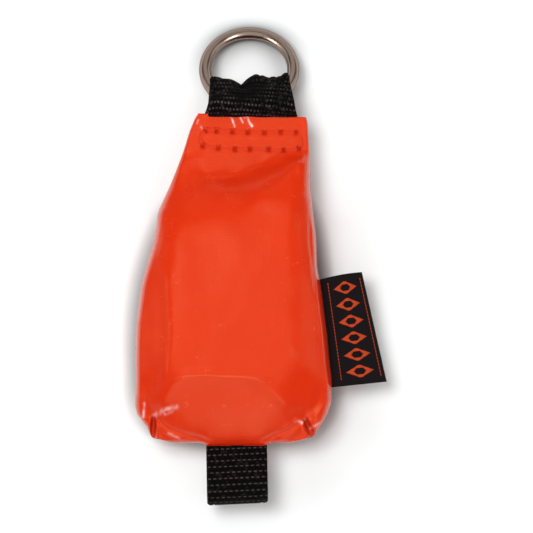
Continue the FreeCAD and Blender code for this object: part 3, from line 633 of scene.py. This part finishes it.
def strap_bottom():
    cols_b = 84
    tb = np.linspace(-1, 1, cols_b)
    one = np.ones(cols_b)
    x = 0.2 + 9.95 * tb
    ctrl = []

    def add(d, n):
        skew = (x - 0.2) * 0.047 * np.clip(d / 17.0, 0, 1.2)
        y = BH[0] + (d + skew * -1.0) * BU[0] + n * BN[0]
        z = BH[1] + (d + skew * -1.0) * BU[1] + n * BN[1]
        ctrl.append(np.stack([x + 0.35 * np.clip(d / 17, 0, 1), y, z], -1))

    for y in (-36.0, -38.5, -40.6):
        ctrl.append(np.stack([x, y * one, (ZM + 0.72) * one], -1))
    add(0.6 * one, 0.95 * one)
    add(3.4 * one, 1.75 * one)
    add(6.6 * one, 3.15 * one)
    add(9.8 * one, 4.75 * one)
    add(13.0 * one, 5.35 * one)
    add(15.9 * one, 4.5 * one)
    add(17.75 * one, 2.0 * one)
    add(17.75 * one, -2.0 * one)
    add(15.9 * one, -4.5 * one)
    add(13.0 * one, -5.35 * one)
    add(9.8 * one, -4.75 * one)
    add(6.6 * one, -3.15 * one)
    add(3.4 * one, -1.75 * one)
    add(0.6 * one, -0.95 * one)
    for y in (-40.6, -38.5, -36.0):
        ctrl.append(np.stack([x, y * one, (ZM - 0.72) * one], -1))
    return np.stack(ctrl)


bottom_strap, bottom_c, bottom_len = strap_from("bottom_webbing", strap_bottom(), 300, PLY, 1.98, 0.22, None, 1.4, beads=True)
print("bottom strap length", bottom_len.max() - bottom_len.min(), "ends at y", bottom_c[..., 1].min())
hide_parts("bottom_webbing_loop", "bottom_webbing_tail_front", "bottom_webbing_tail_back")
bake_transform(bottom_strap)

# ------------------------------------------------------------------ box stitch


def stitch_paths(side):
    """Each stitch rises out of one hole, lies along the cloth and goes down the next."""
    order = HOLES[:7] + HOLES[7:][::-1]
    paths = []
    for a, b in zip(order, order[1:] + order[:1]):
        a, b = np.array(a), np.array(b)
        tt = np.linspace(0, 1, 15)
        along = 0.10 + 0.80 * tt
        p = a[None, :] * (1 - along)[:, None] + b[None, :] * along[:, None]
        if abs(a[0] - b[0]) < 3.0:      # the two short ends bow outwards
            p[:, 0] += np.sign(a[0] - 5) * 1.1 * np.sin(math.pi * tt)
        if side > 0:
            h = 1.99 + 0.07 * np.sin(math.pi * tt)**0.5
            h = np.where((tt < 0.07) | (tt > 0.93), 1.35, h)
            z = ZM + h
        else:
            h = 2.25 + 0.20 * np.sin(math.pi * tt)**0.5
            h = np.where((tt < 0.07) | (tt > 0.93), 1.2, h)
            z = ZM - h
        slant_y = 0.85 - (p[:, 0] + 13) * 0.036
        y = p[:, 1] + smooth(50, 66, p[:, 1]) * slant_y
        paths.append(np.stack([p[:, 0], y, z], -1))
    return paths


needle = tube_set("needle_thread", stitch_paths(1), 0.66, 16, 0.26)
bobbin = tube_set("bobbin_thread", stitch_paths(-1), 0.50, 12, 0.42)
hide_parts("needle_thread_front")
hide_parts("bobbin_thread_back")
for obj in (needle, bobbin):
    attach(obj, "pouch")

# ------------------------------------------------------------------ label: a folded woven tab
LA, LB = np.array([27.6, 13.3]), np.array([32.0, -22.0])
TA, TB = np.array([41.1, 15.7]), np.array([49.3, -20.3])
L_DROOP = math.radians(10.0)


def label_point(v, w):
    """v along the label from its upper end (0 to 1), w outwards from the seam (0 to 1)."""
    root = LA * (1 - v)[..., None] + LB * v[..., None]
    tip = TA * (1 - v)[..., None] + TB * v[..., None]
    p = root * (1 - w)[..., None] + tip * w[..., None]
    out = np.linalg.norm(tip - root, axis=-1) * w
    bow = 0.35 * np.sin(math.pi * w) * (1 - v) * np.array(1.0)
    z = ZM - out * math.sin(L_DROOP) + 0.55 * np.sin(math.pi * np.clip(w, 0, 1)) * (0.4 + 0.6 * v) + 0.25 * np.sin(2.2 * math.pi * v + 0.6) * w
    return np.stack([p[..., 0], p[..., 1] + bow, z], -1)


def label_frame(v, w):
    e = 1e-3
    c = label_point(v, w)
    dv, dw = label_point(v + e, w) - c, label_point(v, w + e) - c
    nrm = np.cross(dv, dw)
    nrm /= np.linalg.norm(nrm, axis=-1)[..., None]
    nrm = np.where(nrm[..., 2:3] < 0, -nrm, nrm)
    return c, nrm


LP = 0.36      # ply
ncol = 150
v = np.linspace(0, 1, ncol)
w_rows = np.concatenate([np.linspace(-0.10, 0.985, 60), [0.992, 0.997, 1.0, 0.997, 0.992], np.linspace(0.985, -0.10, 60)])
side = np.concatenate([np.ones(60), [0.86, 0.5, 0.0, -0.5, -0.86], -np.ones(60)])
W, Vv = np.meshgrid(w_rows, v, indexing="ij")
c, nrm = label_frame(Vv, W)
gap = 0.24 + 0.10 * np.sin(math.pi * np.clip(W, 0, 1))
c = c + nrm * (side[:, None] * gap)[..., None]
al, ac = np.gradient(c, axis=0), np.gradient(c, axis=1)
n2 = np.cross(ac, al)
n2 /= np.linalg.norm(n2, axis=-1)[..., None] + 1e-12
length = np.vstack([np.zeros((1, ncol)), np.cumsum(np.linalg.norm(np.diff(c, axis=0), axis=2), 0)])
width = np.linspace(0, 36.4, ncol)
label = slab("woven_label", c, n2, np.full(ncol, LP / 2), np.broadcast_to(width, c.shape[:2]), length)
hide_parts("folded_label")
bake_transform(label)

# motif: a column of diamonds in satin stitch between two running lines
motif_paths = []


def on_label(v, w, lift):
    c, nrm = label_frame(np.asarray(v, float), np.asarray(w, float))
    g = 0.24 + 0.10 * np.sin(math.pi * np.clip(np.asarray(w, float), 0, 1))
    return c + nrm * (g + LP / 2 + lift)[..., None]


n_d = 6
for i in range(n_d):
    vc, half_v, half_w_ = 0.12 + 0.76 * i / (n_d - 1), 0.062, 0.27
    for kk in range(19):
        f = -1 + 2 * (kk + 0.5) / 19
        reach = half_w_ * (1 - abs(f))
        if reach < 0.02:
            continue
        hollow = 0.42
        spans = [(-1, 1)] if abs(f) > 0.45 else [(-1, -hollow), (hollow, 1)]
        for a, b in spans:
            ws = np.linspace(0.54 + reach * a, 0.54 + reach * b, 9)
            vs = np.full(9, vc + half_v * f)
            lift = 0.03 + 0.10 * np.sin(np.linspace(0, math.pi, 9))
            motif_paths.append(on_label(vs, ws, lift))
for w0 in (0.16, 0.92):
    for kk in range(30):
        v0 = 0.05 + 0.90 * kk / 30
        vs = np.linspace(v0, v0 + 0.90 / 30 * 0.8, 7)
        motif_paths.append(on_label(vs, np.full(7, w0), 0.03 + 0.08 * np.sin(np.linspace(0, math.pi, 7))))
motif = tube_set("label_motif", motif_paths, 0.13, 6, 0.7)
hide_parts("label_motif_thread")
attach(motif, "label")

# ------------------------------------------------------------------ materials


def new_material(name):
    m = bpy.data.materials.new(name)
    m.use_nodes = True
    nt = m.node_tree
    return m, nt, nt.nodes["Principled BSDF"]


def node(nt, kind, **kw):
    n = nt.nodes.new(kind)
    for a, b in kw.items():
        setattr(n, a, b)
    return n


def link(nt, a, b):
    nt.links.new(a, b)


def math_node(nt, op, a, b=None, c=None, clamp=False):
    n = node(nt, "ShaderNodeMath", operation=op, use_clamp=clamp)
    for k, v in enumerate((a, b, c)):
        if v is None:
            continue
        if isinstance(v, (int, float)):
            n.inputs[k].default_value = v
        else:
            link(nt, v, n.inputs[k])
    return n.outputs[0]


def mix_colour(nt, fac, a, b):
    n = node(nt, "ShaderNodeMix", data_type="RGBA")
    if isinstance(fac, (int, float)):
        n.inputs[0].default_value = fac
    else:
        link(nt, fac, n.inputs[0])
    for k, v in ((6, a), (7, b)):
        if isinstance(v, tuple):
            n.inputs[k].default_value = v
        else:
            link(nt, v, n.inputs[k])
    return n.outputs[2]


def noise(nt, coord, scale, detail=3.0, rough=0.5):
    n = node(nt, "ShaderNodeTexNoise")
    n.inputs["Scale"].default_value = scale
    n.inputs["Detail"].default_value = detail
    n.inputs["Roughness"].default_value = rough
    link(nt, coord, n.inputs["Vector"])
    return n.outputs["Fac"]


def ramp(nt, fac, stops):
    n = node(nt, "ShaderNodeValToRGB")
    el = n.color_ramp.elements
    el[0].position, el[0].color = stops[0][0], (*([stops[0][1]] * 3), 1)
    el[1].position, el[1].color = stops[-1][0], (*([stops[-1][1]] * 3), 1)
    for p, v in stops[1:-1]:
        e = el.new(p)
        e.color = (v, v, v, 1)
    link(nt, fac, n.inputs[0])
    return n.outputs[0]


def bump(nt, height, dist, strength=1.0, normal=None):
    n = node(nt, "ShaderNodeBump")
    n.inputs["Distance"].default_value = dist
    n.inputs["Strength"].default_value = strength
    link(nt, height, n.inputs["Height"])
    if normal is not None:
        link(nt, normal, n.inputs["Normal"])
    return n.outputs["Normal"]


def pvc():
    m, nt, bsdf = new_material("pvc_coated_fabric")
    tc = node(nt, "ShaderNodeTexCoord").outputs["Object"]
    big = noise(nt, tc, 45.0, 3.0, 0.55)
    fine = noise(nt, tc, 900.0, 4.0, 0.6)
    sep = node(nt, "ShaderNodeSeparateXYZ")
    link(nt, tc, sep.inputs[0])
    # faint scrim of the base cloth, 0.85 mm pitch, printed through the coating
    wx = math_node(nt, "SINE", math_node(nt, "MULTIPLY", sep.outputs["X"], 2 * math.pi / 0.00085))
    wy = math_node(nt, "SINE", math_node(nt, "MULTIPLY", sep.outputs["Y"], 2 * math.pi / 0.00085))
    scrim = math_node(nt, "MULTIPLY", math_node(nt, "ADD", wx, wy), 0.25)
    base = mix_colour(nt, ramp(nt, big, [(0.3, 0.0), (0.7, 1.0)]), (0.458, 0.0178, 0.0025, 1), (0.482, 0.0202, 0.0031, 1))
    # rubbed, paler specks where it has been handled
    scuff_n = noise(nt, tc, 230.0, 6.0, 0.7)
    wear_and_highlight = ramp(nt, scuff_n, [(0.60, 0.0), (0.74, 0.35)])
    base = mix_colour(nt, math_node(nt, "MULTIPLY", wear_and_highlight, 0.25), base, (0.60, 0.070, 0.030, 1))
    # painted highlights: pale streaks of glinting light on the hem and at the bottom corners, put into the colour
    painted_highlight = node(nt, "ShaderNodeAttribute", attribute_name="wear_and_highlight").outputs["Fac"]
    base = mix_colour(nt, painted_highlight, base, (0.80, 0.64, 0.60, 1))
    # painted shade: the needle holes and the tucks at the bottom corners are darkened in the colour, where the cloth's
    # face is in shade
    pit_shade = node(nt, "ShaderNodeAttribute", attribute_name="pit_shade").outputs["Fac"]
    base = mix_colour(nt, pit_shade, base, (0.31, 0.0085, 0.0016, 1))
    link(nt, base, bsdf.inputs["Base Color"])
    rough = math_node(nt, "ADD", math_node(nt, "MULTIPLY", big, 0.10), 0.20)
    rough = math_node(nt, "ADD", rough, math_node(nt, "MULTIPLY", wear_and_highlight, 0.2))
    rough = math_node(nt, "ADD", rough, math_node(nt, "MULTIPLY", pit_shade, 0.6))
    link(nt, rough, bsdf.inputs["Roughness"])
    bsdf.inputs["Specular IOR Level"].default_value = 0.45
    bsdf.inputs["Specular Tint"].default_value = (1.0, 0.85, 0.40, 1.0)
    bsdf.inputs["Coat Weight"].default_value = 0.04
    bsdf.inputs["Coat Roughness"].default_value = 0.14
    b1 = bump(nt, scrim, 0.00004, 0.5)
    b2 = bump(nt, fine, 0.00004, 0.5, b1)
    mid_n = noise(nt, tc, 130.0, 2.0, 0.5)
    b3 = bump(nt, mid_n, 0.0005, 0.28, b2)
    link(nt, b3, bsdf.inputs["Normal"])
    return m


def webbing(name, dash_gain=1.0, pitch=1.98, step=1.77, duty=0.72, patchy=0.0, knots=0.0, width=0.13):
    m, nt, bsdf = new_material(name)
    uv = node(nt, "ShaderNodeUVMap", uv_map="weave").outputs[0]
    sep = node(nt, "ShaderNodeSeparateXYZ")
    link(nt, uv, sep.inputs[0])
    ux, sy = sep.outputs["X"], sep.outputs["Y"]
    rows = math_node(nt, "DIVIDE", sy, pitch)
    row_i = math_node(nt, "ROUND", rows)
    off = math_node(nt, "ABSOLUTE", math_node(nt, "SUBTRACT", rows, row_i))       # 0 in the groove
    groove = math_node(nt, "SUBTRACT", 1.0, math_node(nt, "DIVIDE", off, width), None, True)
    half = math_node(nt, "MULTIPLY", math_node(nt, "MODULO", math_node(nt, "ABSOLUTE", row_i), 2.0), 0.5)
    cols_ = math_node(nt, "ADD", math_node(nt, "DIVIDE", ux, step), half)
    fc = math_node(nt, "FRACT", cols_)
    tri = math_node(nt, "MULTIPLY", math_node(nt, "ABSOLUTE", math_node(nt, "SUBTRACT", fc, 0.5)), 2.0)
    dash = math_node(nt, "MULTIPLY", math_node(nt, "SUBTRACT", duty, tri), 3.0, None, True)
    dash = math_node(nt, "MULTIPLY", dash, groove)
    tc = node(nt, "ShaderNodeTexCoord").outputs["Object"]
    vary = noise(nt, tc, 420.0, 2.0, 0.6)
    dash = math_node(nt, "MULTIPLY", dash, math_node(nt, "ADD", math_node(nt, "MULTIPLY", vary, 1.1), 0.35))
    if patchy:
        far = ramp(nt, noise(nt, tc, 210.0, 2.0, 0.5), [(0.40, 1.0 - patchy), (0.60, 1.0)])
        dash = math_node(nt, "MULTIPLY", dash, far)
        # the middle of the gathered strap sinks into shade, the rows next to the hem stand out
        at = node(nt, "ShaderNodeSeparateXYZ")
        link(nt, tc, at.inputs[0])
        dx = math_node(nt, "MULTIPLY", math_node(nt, "SUBTRACT", at.outputs["X"], 0.0031), 1 / 0.0066)
        dy = math_node(nt, "MULTIPLY", math_node(nt, "SUBTRACT", at.outputs["Y"], 0.0750), 1 / 0.0042)
        dist = math_node(nt, "SQRT", math_node(nt, "ADD", math_node(nt, "MULTIPLY", dx, dx), math_node(nt, "MULTIPLY", dy, dy)))
        hollow = ramp(nt, dist, [(0.45, 0.03), (0.98, 1.0)])
        rise = math_node(nt, "MULTIPLY", math_node(nt, "SUBTRACT", at.outputs["Y"], 0.0695), 1 / 0.005, None, True)
        gain = math_node(nt, "SUBTRACT", 1.40, math_node(nt, "MULTIPLY", rise, 0.75))
        dash = math_node(nt, "MULTIPLY", math_node(nt, "MULTIPLY", dash, hollow), gain)
    # fine warp yarns
    warp = math_node(nt, "SINE", math_node(nt, "MULTIPLY", ux, 2 * math.pi / 0.442))
    base = mix_colour(nt, math_node(nt, "MULTIPLY", math_node(nt, "ADD", warp, 1.0), 0.5), (0.0012, 0.0009, 0.0011, 1), (0.0024, 0.0018, 0.0021, 1))
    base = mix_colour(nt, math_node(nt, "MULTIPLY", dash, dash_gain, None, True), base, (0.074, 0.056, 0.055, 1))
    if knots:
        specks = ramp(nt, noise(nt, tc, 780.0, 1.0, 0.4), [(0.585, 0.0), (0.66, 1.0)])
        if patchy:
            specks = math_node(nt, "MULTIPLY", specks, hollow)
        base = mix_colour(nt, math_node(nt, "MULTIPLY", specks, knots), base, (0.062, 0.047, 0.045, 1))
    fuzz = ramp(nt, noise(nt, tc, 1500.0, 3.0, 0.7), [(0.58, 0.0), (0.8, 1.0)])
    base = mix_colour(nt, math_node(nt, "MULTIPLY", fuzz, 0.18), base, (0.05, 0.042, 0.042, 1))
    link(nt, base, bsdf.inputs["Base Color"])
    bsdf.inputs["Roughness"].default_value = 0.78
    bsdf.inputs["Specular IOR Level"].default_value = 0.07
    bsdf.inputs["Sheen Weight"].default_value = 0.02
    bsdf.inputs["Sheen Roughness"].default_value = 0.4
    height = math_node(nt, "ADD", math_node(nt, "MULTIPLY", warp, 0.3), math_node(nt, "MULTIPLY", dash, 0.9))
    b1 = bump(nt, height, 0.00010, 0.8)
    b2 = bump(nt, noise(nt, tc, 2400.0, 2.0, 0.7), 0.00006, 0.6, b1)
    link(nt, b2, bsdf.inputs["Normal"])
    return m


def thread(name, colour, scale=5200.0):
    m, nt, bsdf = new_material(name)
    tc = node(nt, "ShaderNodeTexCoord").outputs["Object"]
    w = node(nt, "ShaderNodeTexWave", wave_type="BANDS", bands_direction="DIAGONAL")
    w.inputs["Scale"].default_value = scale / 6.28
    w.inputs["Distortion"].default_value = 1.2
    link(nt, tc, w.inputs["Vector"])
    n = noise(nt, tc, 600.0, 2.0)
    dark = tuple(c * 0.86 for c in colour[:3]) + (1,)
    base = mix_colour(nt, w.outputs["Fac"], dark, colour)
    base = mix_colour(nt, math_node(nt, "MULTIPLY", n, 0.3), base, dark)
    link(nt, base, bsdf.inputs["Base Color"])
    bsdf.inputs["Roughness"].default_value = 0.55
    bsdf.inputs["Specular IOR Level"].default_value = 0.22
    link(nt, bump(nt, w.outputs["Fac"], 0.00005, 0.5), bsdf.inputs["Normal"])
    return m


def label_cloth():
    m, nt, bsdf = new_material("woven_label_cloth")
    uv = node(nt, "ShaderNodeUVMap", uv_map="weave").outputs[0]
    sep = node(nt, "ShaderNodeSeparateXYZ")
    link(nt, uv, sep.inputs[0])
    a = math_node(nt, "SINE", math_node(nt, "MULTIPLY", sep.outputs["X"], 2 * math.pi / 0.30))
    b = math_node(nt, "SINE", math_node(nt, "MULTIPLY", sep.outputs["Y"], 2 * math.pi / 0.22))
    weave = math_node(nt, "MULTIPLY", a, b)
    tc = node(nt, "ShaderNodeTexCoord").outputs["Object"]
    n = noise(nt, tc, 700.0, 3.0, 0.6)
    base = mix_colour(nt, math_node(nt, "MULTIPLY", math_node(nt, "ADD", weave, 1.0), 0.5), (0.0042, 0.0031, 0.0037, 1), (0.0090, 0.0066, 0.0078, 1))
    base = mix_colour(nt, math_node(nt, "MULTIPLY", n, 0.25), base, (0.013, 0.0095, 0.011, 1))
    link(nt, base, bsdf.inputs["Base Color"])
    bsdf.inputs["Roughness"].default_value = 0.62
    bsdf.inputs["Sheen Weight"].default_value = 0.02
    bsdf.inputs["Specular IOR Level"].default_value = 0.12
    link(nt, bump(nt, weave, 0.00005, 0.7), bsdf.inputs["Normal"])
    return m


def steel(name, colour, rough, scratch=0.25):
    m, nt, bsdf = new_material(name)
    tc = node(nt, "ShaderNodeTexCoord").outputs["Object"]
    n = noise(nt, tc, 160.0, 4.0, 0.6)
    n2 = noise(nt, tc, 1400.0, 3.0, 0.7)
    base = mix_colour(nt, n, tuple(c * 0.86 for c in colour[:3]) + (1,), colour)
    link(nt, base, bsdf.inputs["Base Color"])
    bsdf.inputs["Metallic"].default_value = 1.0
    bsdf.inputs["Specular Tint"].default_value = (0.34, 0.28, 0.25, 1.0)
    link(nt, math_node(nt, "ADD", math_node(nt, "MULTIPLY", n, 0.10), rough), bsdf.inputs["Roughness"])
    link(nt, bump(nt, n2, 0.00003, scratch), bsdf.inputs["Normal"])
    return m


def plain_cloth(name, colour):
    m, nt, bsdf = new_material(name)
    tc = node(nt, "ShaderNodeTexCoord").outputs["Object"]
    n = noise(nt, tc, 800.0, 3.0)
    base = mix_colour(nt, n, tuple(c * 0.7 for c in colour[:3]) + (1,), colour)
    link(nt, base, bsdf.inputs["Base Color"])
    bsdf.inputs["Roughness"].default_value = 0.8
    link(nt, bump(nt, n, 0.0001, 0.5), bsdf.inputs["Normal"])
    return m


M_PVC = pvc()
M_WEB = webbing("black_webbing", 0.95, 1.98, knots=0.10, width=0.14)
M_WEB_TOP = webbing("black_webbing_ring", 1.15, 1.62, 1.16, 0.66, 0.85, 0.22, 0.24)
M_THREAD = thread("sewing_thread", (0.495, 0.0260, 0.0050, 1))
M_MOTIF = thread("label_yarn", (0.50, 0.060, 0.016, 1))
M_LABEL = label_cloth()
M_RING = steel("polished_steel", (0.38, 0.290, 0.245, 1), 0.19)
M_SHOT = steel("dull_steel", (0.34, 0.34, 0.35, 1), 0.35)
M_LINER = plain_cloth("liner_cloth", (0.42, 0.42, 0.40, 1))


def dress(obj, material):
    obj.data.materials.clear()
    obj.data.materials.append(material)


for obj, material in ((front, M_PVC), (back, M_PVC), (ring_strap, M_WEB_TOP), (bottom_strap, M_WEB), (needle, M_THREAD), (bobbin, M_THREAD),
                      (label, M_LABEL), (motif, M_MOTIF)):
    dress(obj, material)
BY_NODE = {"steel_ring": M_RING, "steel_shot": M_SHOT, "liner_front": M_LINER, "liner_back": M_LINER, "left_seam_thread": M_THREAD, "right_seam_thread": M_THREAD,
           "bottom_seam_thread": M_THREAD, "label_tail": M_LABEL}
for name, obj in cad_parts.items():
    for slot in obj.material_slots:
        slot.material = BY_NODE.get(name, M_LINER)

# ------------------------------------------------------------------ floor and light
bpy.ops.mesh.primitive_plane_add(size=6.0, location=(0, 0, -0.00002))
floor = bpy.context.active_object
floor.name = "floor"
fm, fnt, fb = new_material("floor_paper")
fb.inputs["Base Color"].default_value = (0.69, 0.735, 0.74, 1)
fb.inputs["Roughness"].default_value = 0.95
fb.inputs["Specular IOR Level"].default_value = 0.1
# painted contact shadow: the paper's colour darkens softly where the object stands close over it
ao = node(fnt, "ShaderNodeAmbientOcclusion", samples=24, only_local=False)
ao.inputs["Distance"].default_value = 0.011
painted_contact_shadow = ramp(fnt, ao.outputs["AO"], [(0.40, 0.20), (0.62, 0.42), (0.80, 0.74), (0.93, 1.0)])
link(fnt, mix_colour(fnt, painted_contact_shadow, (0.0, 0.0, 0.0, 1), (0.738, 0.758, 0.760, 1)), fb.inputs["Base Color"])
floor.data.materials.append(fm)

world = bpy.data.worlds.new("studio")
scene.world = world
world.use_nodes = True
bg = world.node_tree.nodes["Background"]
bg.inputs[0].default_value = (1.0, 0.98, 0.96, 1)
bg.inputs[1].default_value = 0.11


def area(name, loc, target, size, power, colour=(1, 1, 1), gloss=True):
    data = bpy.data.lights.new(name, "AREA")
    data.shape = "RECTANGLE"
    data.size, data.size_y = size
    data.energy = power
    data.color = colour
    obj = bpy.data.objects.new(name, data)
    obj.location = loc
    obj.rotation_euler = (Vector(target) - Vector(loc)).to_track_quat("-Z", "Y").to_euler()
    obj.visible_glossy = gloss
    scene.collection.objects.link(obj)
    return obj


area("overhead", (0.0, -0.02, 1.65), (0.0, -0.02, 0.0), (1.75, 2.2), 8.7, (1.0, 0.97, 0.93))
area("key", (-0.26, 0.24, 1.20), (0.0, 0.01, 0.0), (0.45, 0.45), 12.2, gloss=False)
area("side_left", (-1.0, 0.0, 0.50), (0.0, 0.01, 0.0), (0.5, 0.5), 2.9, gloss=False)
side_right = area("side_right", (1.0, -0.1, 0.50), (0.0, 0.01, 0.0), (0.5, 0.5), 4.7, gloss=False)
area("side_front", (0.1, -1.0, 0.60), (0.0, 0.01, 0.0), (0.5, 0.5), 4.7, gloss=False)
area("side_far", (0.0, 1.0, 0.55), (0.0, 0.01, 0.0), (0.5, 0.5), 4.5, gloss=False)
area("soft_left", (-1.07, -0.18, 0.86), (0.0, 0.05, 0.0), (0.34, 0.34), 0.55)
area("soft_right", (0.75, -0.15, 1.16), (0.0, 0.05, 0.0), (0.34, 0.34), 0.55)

# dim panels and two small lamps that only the polished ring picks up
ring_only = bpy.data.collections.new("ring_only")
ring_only.objects.link(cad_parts["steel_ring"])
for name, loc, size, power in (("panel_left", (-1.2, 0.10, 0.55), (1.6, 1.0), 3.8), ("panel_right", (1.2, 0.10, 0.55), (1.6, 1.0), 3.8),
                               ("panel_far", (0.0, 1.3, 0.60), (1.6, 1.0), 3.0), ("lamp_left", (-1.07, -0.18, 0.86), (0.60, 0.60), 6.6),
                               ("lamp_right", (0.75, -0.15, 1.16), (0.60, 0.60), 6.6)):
    lamp = area(name, loc, (0.0, 0.08, 0.01), size, power, (1.0, 0.96, 0.93))
    lamp.light_linking.receiver_collection = ring_only

shell_only = bpy.data.collections.new("shell_only")
for obj in (front, back, needle, bobbin):
    shell_only.objects.link(obj)
side_right.light_linking.receiver_collection = shell_only
for name, loc, size, power in (("front_low", (0.0, -1.10, 0.66), (0.60, 0.60), 0.60), ("front_high", (-0.05, -0.74, 1.22), (0.55, 0.34), 1.6)):
    lamp = area(name, loc, (0.0, -0.01, 0.02), size, power, (1.0, 0.97, 0.94))
    lamp.light_linking.receiver_collection = shell_only
